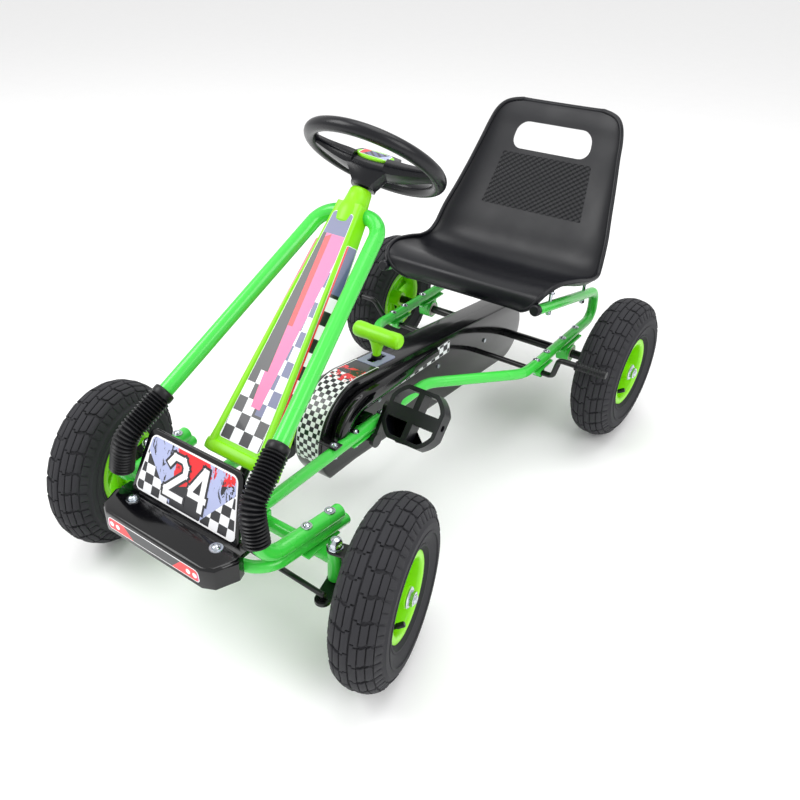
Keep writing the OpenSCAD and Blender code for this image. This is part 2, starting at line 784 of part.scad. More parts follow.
module brake_lugs()
    kart() color([0.12, 0.12, 0.13]) both_sides() difference() {
        union() {
            translate([rail_far_x - 10, lug_y - lug_bolt_dy - 10, under_rail_z - bracket_flange_t])
                cube([20, 2 * lug_bolt_dy + 20, bracket_flange_t]);
            translate([rail_far_x - 7, brake_y - 9, brake_z]) cube([14, 18, under_rail_z - 1 - brake_z]);
            translate([rail_far_x - 7, brake_y, brake_z]) rotate([0, 90, 0]) cylinder(r = 9, h = 14);
        }
        translate([rail_far_x - 20, brake_y, brake_z]) rotate([0, 90, 0])
            cylinder(r = brake_rod_r + fit_gap, h = 40);
        for (s = [-1, 1])
            translate([rail_far_x, lug_y + s * lug_bolt_dy, 0]) cylinder(r = bolt_r + hole_gap, h = 60);
    }

module rear_axle()
    kart() color([0.1, 0.1, 0.1]) {
        half = rear_track / 2 + axle_nut_face - 3;
        translate([-half, wheelbase, 0]) rotate([0, 90, 0]) cylinder(r = axle_r, h = 2 * half);
    }

module axle_nuts()
    kart() color("silver") both_sides()
        translate([rear_track / 2 + hub_half + 0.6, wheelbase, 0]) rotate([0, 90, 0]) difference() {
            union() {
                cylinder(r = 12, h = 1.5);
                cylinder(r = 10, h = axle_nut_face - hub_half - 6, $fn = 6);
            }
            translate([0, 0, -1]) cylinder(r = axle_r + seat_gap, h = 40);
        }

module toothed(teeth, h) {
    r = pitch_r(teeth);
    difference() {
        cylinder(r = r + tip_h, h = h);
        for (i = [0:teeth - 1])
            rotate([0, 0, (i + 0.5) * 360 / teeth]) translate([r, 0, -1])
                cylinder(r = roller_r, h = h + 2, $fn = 24);
    }
}

module axle_sprocket()
    kart() color("dimgray") difference() {
        union() {
            translate([-sprocket_t / 2, wheelbase, 0]) rotate([0, 90, 0]) toothed(axle_teeth, sprocket_t);
            translate([-10, wheelbase, 0]) rotate([0, 90, 0]) cylinder(r = axle_r + 6, h = 20);
        }
        translate([-20, wheelbase, 0]) rotate([0, 90, 0]) cylinder(r = axle_r + seat_gap, h = 40);
    }

// ---------- wheels ----------

// Half sections are drawn as [radius, distance from the wheel's middle plane].
module tyre_section() {
    half = tyre_w / 2;
    inner_half = rim_w / 2 - rim_t - bead_gap;
    polygon([
        [barrel_r + bead_gap, -inner_half], [barrel_r + bead_gap, -inner_half + tyre_wall],
        [tyre_r * 0.62, -half + tyre_wall], [tyre_r * 0.82, -half + tyre_wall],
        [tyre_r - tyre_wall - 3, -half * 0.55], [tyre_r - tyre_wall - 3, half * 0.55],
        [tyre_r * 0.82, half - tyre_wall], [tyre_r * 0.62, half - tyre_wall],
        [barrel_r + bead_gap, inner_half - tyre_wall], [barrel_r + bead_gap, inner_half],
        [rim_d / 2 + 1, inner_half], [rim_d / 2 + 7, half - 4], [tyre_r * 0.7, half],
        [tyre_r * 0.83, half - 0.5], [tyre_r * 0.92, half - 4], [tyre_r - 5, half * 0.72],
        [tyre_r - 1, half * 0.42], [tyre_r, half * 0.2],
        [tyre_r, -half * 0.2], [tyre_r - 1, -half * 0.42], [tyre_r - 5, -half * 0.72],
        [tyre_r * 0.92, -half + 4], [tyre_r * 0.83, -half + 0.5], [tyre_r * 0.7, -half],
        [rim_d / 2 + 7, -half + 4], [rim_d / 2 + 1, -inner_half]]);
}

module tyre() rotate([0, 90, 0]) rotate_extrude() tyre_section();

module rim(bore_r) {
    half = rim_w / 2;
    rotate([0, 90, 0]) difference() {
        union() {
            rotate_extrude() polygon([
                [barrel_r - rim_t, -half], [rim_d / 2, -half],
                [rim_d / 2, -half + rim_t], [barrel_r, -half + rim_t],
                [barrel_r, half - rim_t], [rim_d / 2, half - rim_t],
                [rim_d / 2, half], [barrel_r - rim_t, half]]);
            translate([0, 0, -3]) cylinder(r = barrel_r - 1, h = 6);
            translate([0, 0, -hub_half]) cylinder(r = hub_r, h = 2 * hub_half);
        }
        translate([0, 0, -hub_half - 1]) cylinder(r = bore_r, h = 2 * hub_half + 2);
        for (i = [0:spoke_count - 1])
            rotate([0, 0, (i + 0.5) * 360 / spoke_count]) translate([(barrel_r + hub_r) / 2 - 1, 0, -10])
                cylinder(r = (barrel_r - hub_r) / 2 - 4, h = 20);
    }
}

// The front wheels' places: built straight ahead, then turned on their kingpins.
module steered(side)
    translate([side * kingpin_x, 0, 0]) rotate([0, 0, steer_rest]) children();

module front_wheel_place(side) steered(side) translate([side * kingpin_offset, 0, 0]) children();
module rear_wheel_place(side) translate([side * rear_track / 2, wheelbase, 0]) children();

module tyre_front_left() kart() color([0.1, 0.1, 0.1]) front_wheel_place(1) tyre();
module tyre_front_right() kart() color([0.1, 0.1, 0.1]) front_wheel_place(-1) tyre();
module tyre_rear_left() kart() color([0.1, 0.1, 0.1]) rear_wheel_place(1) tyre();
module tyre_rear_right() kart() color([0.1, 0.1, 0.1]) rear_wheel_place(-1) tyre();
module rim_front_left() kart() color([0.62, 0.93, 0.05]) front_wheel_place(1) rim(bush_r);
module rim_front_right() kart() color([0.62, 0.93, 0.05]) front_wheel_place(-1) rim(bush_r);
module rim_rear_left() kart() color([0.62, 0.93, 0.05]) rear_wheel_place(1) rim(axle_r + seat_gap);
module rim_rear_right() kart() color([0.62, 0.93, 0.05]) rear_wheel_place(-1) rim(axle_r + seat_gap);

module hub_bushes()
    rotate([0, 90, 0]) for (z = [-hub_half, hub_half - 16])
        translate([0, 0, z]) ring(bush_r - seat_gap, stub_r + fit_gap, 16);

module hub_bushes_left() kart() color("dimgray") front_wheel_place(1) hub_bushes();
module hub_bushes_right() kart() color("dimgray") front_wheel_place(-1) hub_bushes();

// ---------- steering ----------

module knuckle() {
    web_out = web_in + web_t;
    difference() {
        union() {
            translate([0, -ear_half, ear_low]) cube([web_out, 2 * ear_half, ear_t]);
            translate([0, 0, ear_low]) cylinder(r = ear_half, h = ear_t);
            translate([1 - ear_half, -steer_arm, ear_low]) cube([2 * ear_half - 2, steer_arm, ear_t]);
            translate([0, -steer_arm, ear_low]) cylinder(r = ear_half - 1, h = ear_t);
            translate([web_in, -ear_half, ear_low]) cube([web_t, 2 * ear_half, ear_high - ear_low]);
            translate([0, -ear_half, ear_high - upper_ear_t]) cube([web_out, 2 * ear_half, upper_ear_t]);
            translate([0, 0, ear_high - upper_ear_t]) cylinder(r = ear_half, h = upper_ear_t);
            translate([web_in, 0, 0]) rotate([0, 90, 0])
                cylinder(r = stub_r + 3, h = kingpin_offset - hub_half - 1.5 - web_in);
            translate([web_in, 0, 0]) rotate([0, 90, 0])
                cylinder(r = stub_r, h = kingpin_offset + axle_nut_face - web_in - 2);
            translate([kingpin_offset + hub_half + 0.6, 0, 0]) rotate([0, 90, 0]) {
                cylinder(r = 11, h = 1.5);
                cylinder(r = 9, h = axle_nut_face - hub_half - 4, $fn = 6);
            }
        }
        translate([0, 0, ear_low - 1]) cylinder(r = kingpin_r + seat_gap, h = ear_high - ear_low + 2);
        translate([0, -steer_arm, ear_low - 1]) cylinder(r = tie_pin_r + fit_gap, h = ear_t + 2);
    }
}

module knuckle_left() kart() color([0.1, 0.1, 0.11]) steered(1) knuckle();
module knuckle_right() kart() color([0.1, 0.1, 0.11]) steered(-1) mirror([1, 0, 0]) knuckle();

module kingpin() {
    nut_r = kingpin_r * 1.6;
    translate([0, 0, ear_low - 5]) cylinder(r = nut_r, h = 5, $fn = 6);
    translate([0, 0, ear_low - 0.1]) cylinder(r = kingpin_r, h = ear_high - ear_low + 3);
    translate([0, 0, ear_high + 0.1]) cylinder(r = kingpin_r * 1.75, h = 2);
    translate([0, 0, ear_high + 2]) cylinder(r = nut_r, h = 6);
    intersection() {
        translate([0, 0, ear_high + 8]) sphere(r = nut_r);
        translate([-15, -15, ear_high + 7.9]) cube([30, 30, kingpin_r * 1.2]);
    }
}

module kingpin_left() kart() color("silver") steered(1) kingpin();
module kingpin_right() kart() color("silver") steered(-1) kingpin();

// A tie rod: a bent pin in the knuckle's arm, a straight rod and an eye on the
// drop arm's pin. It keeps its direction while the arms turn, so it is drawn
// straight ahead and moved by the arm's swing.
module tie_rod(side) {
    swing = steer_arm * [sin(steer_rest), 1 - cos(steer_rest), 0];
    outer = [side * kingpin_x, -steer_arm, tie_z];
    eye_mid = side > 0 ? arm_t / 2 + eye_gap_below + eye_h / 2 : -arm_t / 2 - eye_gap_above - eye_h / 2;
    eye = column_point(arm_at) + column_front * steer_arm + column_axis * eye_mid;
    translate(swing) difference() {
        union() {
            rod(outer, eye, tie_r);
            translate(outer) sphere(r = tie_ball_r);
            translate(at_z(outer, ear_low - 5)) cylinder(r = tie_pin_r, h = tie_z - ear_low + 5);
            translate(at_z(outer, head_low - ear_gap + part_gap)) cylinder(r = tie_pin_r + 2, h = 1.6);
            translate(eye) rotate([-column_tilt, 0, 0]) translate([0, 0, -eye_h / 2])
                cylinder(r = pin_eye_r, h = eye_h);
        }
        translate(eye) rotate([-column_tilt, 0, 0]) translate([0, 0, -eye_h])
            cylinder(r = drop_pin_r + eye_play, h = 2 * eye_h);
    }
}

module tie_rod_left() kart() color([0.1, 0.1, 0.11]) tie_rod(1);
module tie_rod_right() kart() color([0.1, 0.1, 0.11]) tie_rod(-1);

// Turns what rides on the column to its rest angle.
module turned(s) on_column(s) rotate([0, 0, steer_rest]) children();

module steering_column()
    kart() color([0.1, 0.1, 0.11]) {
        pin_high = arm_t / 2 + eye_gap_below + eye_h + eye_gap_above;
        pin_low = -arm_t / 2 - eye_gap_above - eye_h - eye_gap_below;
        turned(column_len) difference() {
            cylinder(r = column_r, h = column_len - 14);
            translate([0, 0, 12]) cylinder(r = column_r - 2, h = column_len);
        }
        turned(arm_at) difference() {
            union() {
                translate([0, 0, -arm_t / 2]) {
                    cylinder(r = 13, h = arm_t);
                    translate([0, steer_arm, 0]) cylinder(r = 7, h = arm_t);
                    translate([-7, 0, 0]) cube([14, steer_arm, arm_t]);
                }
                translate([0, steer_arm, pin_low]) cylinder(r = drop_pin_r, h = pin_high - pin_low);
                translate([0, steer_arm, pin_high]) cylinder(r = 6, h = 3, $fn = 6);
                translate([0, steer_arm, pin_low - 3]) cylinder(r = 6, h = 3, $fn = 6);
            }
            translate([0, 0, -arm_t]) cylinder(r = column_r - 0.5, h = 2 * arm_t);
        }
    }

module column_nut()
    kart() color("silver") turned(column_len + 0.2) translate([0, 0, -7]) cylinder(r = 10, h = 7, $fn = 6);

module steering_wheel()
    kart() color([0.07, 0.07, 0.08]) turned(0) difference() {
        union() {
            rotate_extrude($fn = 96) translate([wheel_ring_r, 0]) circle(r = grip_r, $fn = 32);
            hull() {
                translate([-hub_half_x, -26, -6]) cube([2 * hub_half_x, 52, 6 + hub_top]);
                translate([-24, -20, -26]) cube([48, 40, 10]);
                translate([0, 0, -hub_bottom]) cylinder(r = 17, h = 8, $fn = 32);
            }
            for (s = [-1, 1]) hull() {
                translate([s * (hub_half_x - 4), -20, -16]) cube([4, 40, 16]);
                translate([s * (wheel_ring_r - grip_r / 2) - 1, -15, -5]) cube([2, 30, 8]);
            }
        }
        translate([0, 0, -hub_bottom - 1]) cylinder(r = column_r + seat_gap, h = hub_bottom + 1 - 13);
        translate([-insert_x, -insert_y, hub_top - 3]) cube([2 * insert_x, 2 * insert_y, 10]);
    }

module hub_insert()
    kart() color([0.62, 0.93, 0.05]) turned(0)
        translate([-insert_x + 0.2, -insert_y + 0.2, hub_top - 2.8])
            cube([2 * insert_x - 0.4, 2 * insert_y - 0.4, 5]);

// ---------- crank, pedals and levers ----------

module crank()
    kart() color([0.1, 0.1, 0.11]) translate([0, crank_y, crank_z]) {
        rod([-arm_in_x, 0, 0], [arm_in_x, 0, 0], spindle_r);
        for (s = [-1, 1]) {
            tip = s * crank_left;
            arm_in = [s * arm_in_x, 0, 0];
            arm_out = [s * (arm_in_x + arm_w), 0, 0];
            rod(arm_in, arm_out, arm_boss_r);
            rod(arm_in + tip, arm_out + tip, arm_eye_r);
            translate((arm_in + arm_out) / 2) rotate([crank_angle + (s < 0 ? 180 : 0), 0, 0])
                translate([-arm_w / 2 + arm_relief, 0, -arm_half])
                    cube([arm_w - 2 * arm_relief, crank_r, 2 * arm_half]);
            rod(arm_in + [s, 0, 0] + tip, [s * (pedal_in_x + pedal_w - 4), 0, 0] + tip, pedal_pin_r);
        }
    }

module chainring()
    kart() color("dimgray") translate([0, crank_y, crank_z]) rotate([crank_angle, 0, 0]) difference() {
        union() {
            translate([-sprocket_t / 2, 0, 0]) rotate([0, 90, 0]) toothed(ring_teeth, sprocket_t);
            translate([-9, 0, 0]) rotate([0, 90, 0]) cylinder(r = spindle_r + 6, h = 18);
        }
        translate([-20, 0, 0]) rotate([0, 90, 0]) cylinder(r = spindle_r + seat_gap, h = 40);
        for (i = [0:4])
            rotate([i * 72, 0, 0]) translate([-5, 0, 25]) rotate([0, 90, 0]) cylinder(r = 7, h = 10);
    }

// A pedal about its spindle: faces on local +Z and -Z, with four windows.
module pedal_block() {
    mid = pedal_w / 2;
    window_x = (mid - pedal_rib_x - pedal_rim) / 2;
    window_y = (pedal_h / 2 - pedal_rib_y - pedal_rim) / 2;
    difference() {
        intersection() {
            translate([mid, 0, -pedal_t / 2]) cylinder(r = pedal_w / 2 + 4, h = pedal_t, $fn = 96);
            translate([0, -pedal_h / 2, -pedal_t / 2]) cube([pedal_w, pedal_h, pedal_t]);
        }
        for (sx = [-1, 1]) for (sy = [-1, 1])
            intersection() {
                translate([mid, 0, -pedal_t])
                    cylinder(r = pedal_w / 2 + 4 - pedal_rim, h = 2 * pedal_t, $fn = 96);
                translate([mid + sx * (window_x + pedal_rib_x), sy * (window_y + pedal_rib_y), 0])
                    cube([2 * window_x, 2 * window_y, 2 * pedal_t], center = true);
            }
        rotate([0, 90, 0]) translate([0, 0, -1]) cylinder(r = pedal_pin_r + fit_gap, h = pedal_w + 2);
    }
}

module pedal_left()
    kart() color([0.12, 0.12, 0.13])
        translate([pedal_in_x, crank_y, crank_z] + crank_left)
            rotate([pedal_face_tilt, 0, 0]) pedal_block();

module pedal_right()
    kart() color([0.12, 0.12, 0.13])
        translate([-pedal_in_x, crank_y, crank_z] - crank_left) rotate([pedal_face_tilt - 15, 0, 0])
            mirror([1, 0, 0]) pedal_block();

module drive_lever()
    kart() color([0.62, 0.93, 0.05]) difference() {
        union() {
            rod([-44, lever_y + 2, lever_grip_z], [44, lever_y + 2, lever_grip_z], 13);
            hull() {
                translate([-14, lever_y - 4, lever_grip_z - 10]) cube([28, 12, 4]);
                translate([-5, lever_y - 6, lever_grip_z - 34]) cube([10, 12, 4]);
            }
            translate([-4, lever_y - 5, lever_pivot_z]) cube([8, 10, lever_grip_z - lever_pivot_z - 30]);
            rod([-6, lever_y, lever_pivot_z], [6, lever_y, lever_pivot_z], 8);
        }
        rod([-20, lever_y, lever_pivot_z], [20, lever_y, lever_pivot_z], lever_pin_r + fit_gap);
    }

module brake_bar()
    kart() color([0.1, 0.1, 0.11]) bent_rod(brake_path, [0, 12, 12, 12, 12, 0], brake_rod_r);

function brake_grip_at(x) = [x, brake_grip_y, brake_grip_z];

module brake_grips()
    kart() color([0.16, 0.16, 0.18]) both_sides() difference() {
        union() {
            rod(brake_grip_at(brake_grip_in), brake_grip_at(brake_grip_out), brake_grip_r);
            rod(brake_grip_at(brake_grip_in), brake_grip_at(brake_grip_in + 3), brake_grip_r + 1);
        }
        rod(brake_grip_at(brake_grip_in - 1), brake_grip_at(brake_grip_out - 3.9), brake_rod_r + seat_gap);
    }

// ---------- seat ----------

function seat_mid(i) = [wheelbase + seat_stations[i].x, seat_stations[i].y];
function seat_along(i) =
    let (a = seat_mid(max(0, i - 1)), b = seat_mid(min(seat_rows - 1, i + 1))) (b - a) / norm(b - a);
function seat_normal(i) = [-seat_along(i).y, seat_along(i).x];
// Row i, column j from 0 to seat_across, on the sitting side when depth is 0.
function seat_point(i, j, depth) =
    let (
        u = 2 * j / seat_across - 1,
        lift = seat_stations[i][3] * pow(abs(u), 3) - depth,
        p = seat_mid(i) + seat_normal(i) * lift)
    [seat_half_w * seat_stations[i][2] * sin(u * 90) / (1 + 0.06 * (1 - abs(u))), p.x, p.y];

module seat_shell() {
    cols = seat_across + 1;
    n = seat_rows * cols;
    points = concat(
        [for (i = [0:seat_rows - 1]) for (j = [0:seat_across]) seat_point(i, j, 0)],
        [for (i = [0:seat_rows - 1]) for (j = [0:seat_across]) seat_point(i, j, seat_wall)]);
    top = [for (i = [0:seat_rows - 2]) for (j = [0:seat_across - 1])
        let (a = i * cols + j) each [[a, a + 1, a + cols + 1], [a, a + cols + 1, a + cols]]];
    bottom = [for (f = top) [f[2] + n, f[1] + n, f[0] + n]];
    rim = concat(
        [for (j = [0:seat_across - 1]) each quad(j + 1, j, n)],
        [for (j = [0:seat_across - 1]) let (a = (seat_rows - 1) * cols + j) each quad(a, a + 1, n)],
        [for (i = [0:seat_rows - 2]) let (a = i * cols) each quad(a, a + cols, n)],
        [for (i = [0:seat_rows - 2]) let (a = i * cols + seat_across) each quad(a + cols, a, n)]);
    polyhedron(points, [for (f = concat(top, bottom, rim)) [f[2], f[1], f[0]]], convexity = 6);
}

function quad(a, b, n) = [[a, b + n, b], [a, a + n, b + n]];

function seat_bolt_at(s) = seat_rail_low + seat_rail_dir * s;

module seat()
    kart() color([0.07, 0.07, 0.08]) difference() {
        seat_shell();
        both_sides()
            translate([handle_half, wheelbase, handle_z]) rotate([-90, 0, 0])
                cylinder(r = handle_r, h = 250);
        translate([-handle_half, wheelbase, handle_z - handle_r])
            cube([2 * handle_half, 250, 2 * handle_r]);
        both_sides() for (s = seat_bolt_along)
            translate([seat_bolt_x, seat_bolt_at(s).y, seat_bolt_at(s).z])
                cylinder(r = bolt_r + hole_gap, h = 60);
    }

module seat_bolts()
    kart() color("silver") both_sides() for (s = seat_bolt_along)
        translate([seat_bolt_x, seat_bolt_at(s).y, seat_bolt_at(s).z + rail_r + 14]) bolt(2 * rail_r + 15);

// ---------- drawing ----------

front_hoop();
bumper_tube();
front_beam();
side_rail_left();
side_rail_right();
rail_plugs();
hoop_bolts();
rail_bolts();
kingpin_bushes();
column_bushes();
boot_left();
boot_right();
bumper_cover();
bumper_bolts();
bumper_sticker();
nose_fairing();
case_left();
case_right();
case_screws();
lever_pin();
crank_bracket_left();
crank_bracket_right();
crank_bushes();
chain();
axle_bracket_left();
axle_bracket_right();
axle_bearings();
brake_lugs();
seat();
seat_bolts();
steering_column();
steering_wheel();
hub_insert();
column_nut();
knuckle_left();
knuckle_right();
kingpin_left();
kingpin_right();
tie_rod_left();
tie_rod_right();
tyre_front_left();
tyre_front_right();
rim_front_left();
rim_front_right();
hub_bushes_left();
hub_bushes_right();
rear_axle();
axle_nuts();
axle_sprocket();
tyre_rear_left();
tyre_rear_right();
rim_rear_left();
rim_rear_right();
crank();
chainring();
pedal_left();
pedal_right();
drive_lever();
brake_bar();
brake_grips();
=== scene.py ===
"""The pedal go-kart's looks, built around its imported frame, in metres.

+X is the driver's left, -Y is forward and +Z is up. The origin is on the ground,
in the middle of the kart's length and width.
"""

import json
import logging
import math
from dataclasses import dataclass, field
from enum import Enum
from math import cos, radians, sin
from typing import Sequence

import bmesh
import bpy
from bmesh.types import BMesh, BMVert
from bpy.types import Material, Node, NodeSocket, NodeTree, Object
from mathutils import Matrix, Vector

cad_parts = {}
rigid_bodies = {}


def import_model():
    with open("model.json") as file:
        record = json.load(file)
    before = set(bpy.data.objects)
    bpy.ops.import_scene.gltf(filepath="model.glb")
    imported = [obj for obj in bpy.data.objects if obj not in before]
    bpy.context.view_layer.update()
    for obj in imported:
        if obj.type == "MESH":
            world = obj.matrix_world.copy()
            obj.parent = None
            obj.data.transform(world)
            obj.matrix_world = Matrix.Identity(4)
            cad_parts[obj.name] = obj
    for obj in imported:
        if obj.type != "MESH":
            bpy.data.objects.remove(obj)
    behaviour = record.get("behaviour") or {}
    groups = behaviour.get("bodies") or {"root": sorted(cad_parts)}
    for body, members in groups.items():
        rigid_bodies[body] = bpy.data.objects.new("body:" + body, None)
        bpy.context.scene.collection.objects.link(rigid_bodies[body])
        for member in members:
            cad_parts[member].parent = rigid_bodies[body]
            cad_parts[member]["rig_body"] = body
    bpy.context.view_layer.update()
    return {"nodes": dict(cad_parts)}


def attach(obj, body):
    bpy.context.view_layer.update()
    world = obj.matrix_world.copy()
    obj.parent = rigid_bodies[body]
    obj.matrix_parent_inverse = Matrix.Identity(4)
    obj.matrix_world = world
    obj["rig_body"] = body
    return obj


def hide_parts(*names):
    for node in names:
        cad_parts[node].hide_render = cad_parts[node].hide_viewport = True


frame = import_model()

logging.basicConfig(level=logging.INFO, format="%(message)s")
log = logging.getLogger("kart")
move, spin = Matrix.Translation, Matrix.Rotation

MM = 0.001
X_AXIS, Y_AXIS, Z_AXIS = Vector((1, 0, 0)), Vector((0, 1, 0)), Vector((0, 0, 1))

# Driving places of the frame, in millimetres from the front axle line and the axles' height.
WHEELBASE = 742.0
FRONT_TRACK = 499.0
REAR_TRACK = 504.0
TYRE_RADIUS = 130.0
REST_STEER = radians(13.9)
COLUMN_TILT = radians(38.8)
KINGPIN_OFFSET = 72.0
MID_Y = 387.5
COLUMN_TOP = (0, 316, 437)
CRANK_AT = (245, 30)
LEVER_Y = 334
SIDES = ((1, "left"), (-1, "right"))


def at(x: float, y: float, z: float) -> Vector:
    """Turn millimetres from the front axle line and the axles' height into the row frame.

    Args:
        x: Distance to the driver's left.
        y: Distance behind the front axle line.
        z: Height above the wheel axles.

    Returns:
        The point in metres.
    """
    return Vector((x, y - MID_Y, z + TYRE_RADIUS)) * MM


def mm(*pairs: tuple[float, float]) -> list[tuple[float, float]]:
    """Turn pairs of millimetres into metres."""
    return [(a * MM, b * MM) for a, b in pairs]


# ---- node helpers


def linear(hex_colour: str) -> tuple[float, float, float, float]:
    """Turn an sRGB hex colour into linear RGBA.

    Args:
        hex_colour: Six hex digits, with or without a leading #.

    Returns:
        Red, green, blue and alpha.
    """
    digits = hex_colour.lstrip("#")
    parts = [int(digits[i:i + 2], 16) / 255 for i in (0, 2, 4)]
    bent = [c / 12.92 if c <= 0.04045 else ((c + 0.055) / 1.055) ** 2.4 for c in parts]
    return (bent[0], bent[1], bent[2], 1.0)


def add_node(tree: NodeTree, kind: str, settings: dict | None = None, links: dict | None = None) -> Node:
    """Add a shader node with its settings, values and links.

    Args:
        tree: The node tree that gets the node.
        kind: The node's type, such as ShaderNodeMath.
        settings: Attribute names, input numbers, or input names after an "=", and their values.
        links: Input names or numbers, and the output sockets that feed them.

    Returns:
        The new node.
    """
    node = tree.nodes.new(kind)
    for name, value in (settings or {}).items():
        if isinstance(name, str) and not name.startswith("="):
            setattr(node, name, value)
    for name, value in (settings or {}).items():
        if isinstance(name, int):
            node.inputs[name].default_value = value
        elif name.startswith("="):
            node.inputs[name[1:]].default_value = value
    for name, socket in (links or {}).items():
        tree.links.new(socket, node.inputs[name])
    return node


# ---- finishes


@dataclass(frozen=True)
class Finish:
    """A moulded, painted or plated surface: its colour in patches and its fine grain."""

    name: str
    colour: str
    shade: str
    roughness: float
    metallic: float = 0.0
    coat: float = 0.0
    coat_roughness: float = 0.05
    ior: float = 1.5
    grain_mm: float = 1.5
    grain_depth_mm: float = 0.02
    patch_mm: float = 70.0
    rough_spread: float = 0.06
    fine_mm: float = 0.0
    fine_depth_mm: float = 0.0

    def build(self) -> Material:
        """Make the material once, and return it on later calls.

        Returns:
            The Blender material.
        """
        known = bpy.data.materials.get(self.name)
        if known:
            return known
        material = bpy.data.materials.new(self.name)
        material.use_nodes = True
        tree = material.node_tree
        shader = tree.nodes["Principled BSDF"]
        shader.inputs["Metallic"].default_value = self.metallic
        shader.inputs["Coat Weight"].default_value = self.coat
        shader.inputs["Coat Roughness"].default_value = self.coat_roughness
        shader.inputs["IOR"].default_value = self.ior
        place = add_node(tree, "ShaderNodeTexCoord").outputs["Object"]
        patches = add_node(tree, "ShaderNodeTexNoise", {"=Scale": 1000 / self.patch_mm, "=Detail": 3.0},
                           {"Vector": place})
        mixed = add_node(tree, "ShaderNodeMix", {"data_type": "RGBA", 6: linear(self.colour),
                                                 7: linear(self.shade)},
                         {"Factor": patches.outputs["Fac"]})
        tree.links.new(self.tint(tree, mixed.outputs[2], place), shader.inputs["Base Color"])
        rough = add_node(tree, "ShaderNodeMapRange",
                         {"=From Min": 0.3, "=From Max": 0.7,
                          "=To Min": self.roughness - self.rough_spread,
                          "=To Max": self.roughness + self.rough_spread},
                         {"Value": patches.outputs["Fac"]})
        tree.links.new(rough.outputs["Result"], shader.inputs["Roughness"])
        tree.links.new(self.relief(tree, place), shader.inputs["Normal"])
        return material

    def tint(self, tree: NodeTree, colour: NodeSocket, place: NodeSocket) -> NodeSocket:
        """Let a finish lay something more on its colour.

        Args:
            tree: The material's node tree. It is not used.
            colour: The patched colour.
            place: Object coordinates. They are not used.

        Returns:
            The colour that the shader takes.
        """
        return colour

    def relief(self, tree: NodeTree, place: NodeSocket) -> NodeSocket:
        """Build the bump of the surface's grain, and of a finer one if it has it.

        Args:
            tree: The material's node tree.
            place: Object coordinates.

        Returns:
            The normal that the shader takes.
        """
        grain = add_node(tree, "ShaderNodeTexNoise", {"=Scale": 1000 / self.grain_mm, "=Detail": 2.0},
                         {"Vector": place})
        bump = add_node(tree, "ShaderNodeBump", {"=Distance": self.grain_depth_mm * MM, "=Strength": 1.0},
                        {"Height": grain.outputs["Fac"]})
        if self.fine_mm:
            cells = add_node(tree, "ShaderNodeTexVoronoi", {"=Scale": 1000 / self.fine_mm},
                             {"Vector": place})
            bump = add_node(tree, "ShaderNodeBump", {"=Distance": self.fine_depth_mm * MM, "=Strength": 1.0},
                            {"Height": cells.outputs["Distance"], "Normal": bump.outputs["Normal"]})
        return bump.outputs["Normal"]


# Polyester powder coat on steel tube, baked on: a soft gloss with a faint orange peel.
GREEN_COAT = Finish("green_powder_coat", "#43D649", "#3CCC42", 0.27, coat=0.35, coat_roughness=0.08,
                    grain_mm=2.5, grain_depth_mm=0.025)
# Injection moulded polypropylene, dyed lime: satin, with a faint flow pattern.
LIME_PLASTIC = Finish("lime_polypropylene", "#8FE600", "#84D900", 0.36, grain_mm=1.2, grain_depth_mm=0.02)
# Injection moulded polypropylene, dyed black: satin, and finely sparked all over.
BLACK_PLASTIC = Finish("black_polypropylene", "#08090F", "#0B0C13", 0.36, ior=1.4,
                       fine_mm=1.1, fine_depth_mm=0.03)
# ABS moulded in a polished tool: deep black and glossy.
GLOSS_PLASTIC = Finish("gloss_black_abs", "#050507", "#08080B", 0.14, coat=0.2, ior=1.42, grain_mm=14,
                       grain_depth_mm=0.04)
# Soft PVC blown into bellows: black, its shine varying in broad patches.
BELLOWS_PVC = Finish("bellows_pvc", "#08080B", "#0E0F13", 0.4, ior=1.42, grain_mm=0.9, grain_depth_mm=0.03)
# Vulcanised natural rubber with carbon black: matt, and greyer where dust lies.
TYRE_RUBBER = Finish("tyre_rubber", "#0A0B10", "#101218", 0.52, ior=1.42, patch_mm=26, grain_mm=0.8,
                     grain_depth_mm=0.04, rough_spread=0.1)
# Bright zinc plate, passivated blue-white: shiny, slightly clouded.
ZINC_PLATE = Finish("bright_zinc_plate", "#D4D9DE", "#B4BCC6", 0.2, metallic=1.0, grain_mm=0.8,
                    grain_depth_mm=0.006, patch_mm=6)
# Black enamel sprayed on steel: half gloss.
BLACK_ENAMEL = Finish("black_enamel", "#08080A", "#0C0C0F", 0.3, ior=1.42, coat=0.15,
                      grain_mm=1.8, grain_depth_mm=0.02)
# Cast nylon: milky and waxy.
NYLON = Finish("nylon_bush", "#D9D8CF", "#C9C7BB", 0.45)
# Rolled chain steel under a film of oil.
OILED_STEEL = Finish("oiled_steel", "#6B6763", "#4A4540", 0.3, metallic=1.0, patch_mm=9)
# White vinyl film, screen printed: glossy and flat.
WHITE_FILM = Finish("white_vinyl", "#F7F7F8", "#F2F2F4", 0.3, coat=0.3, grain_mm=8, grain_depth_mm=0.005)
DARK_FILM = Finish("dark_vinyl", "#17181F", "#1D1E26", 0.25, coat=0.3, grain_mm=8, grain_depth_mm=0.005)


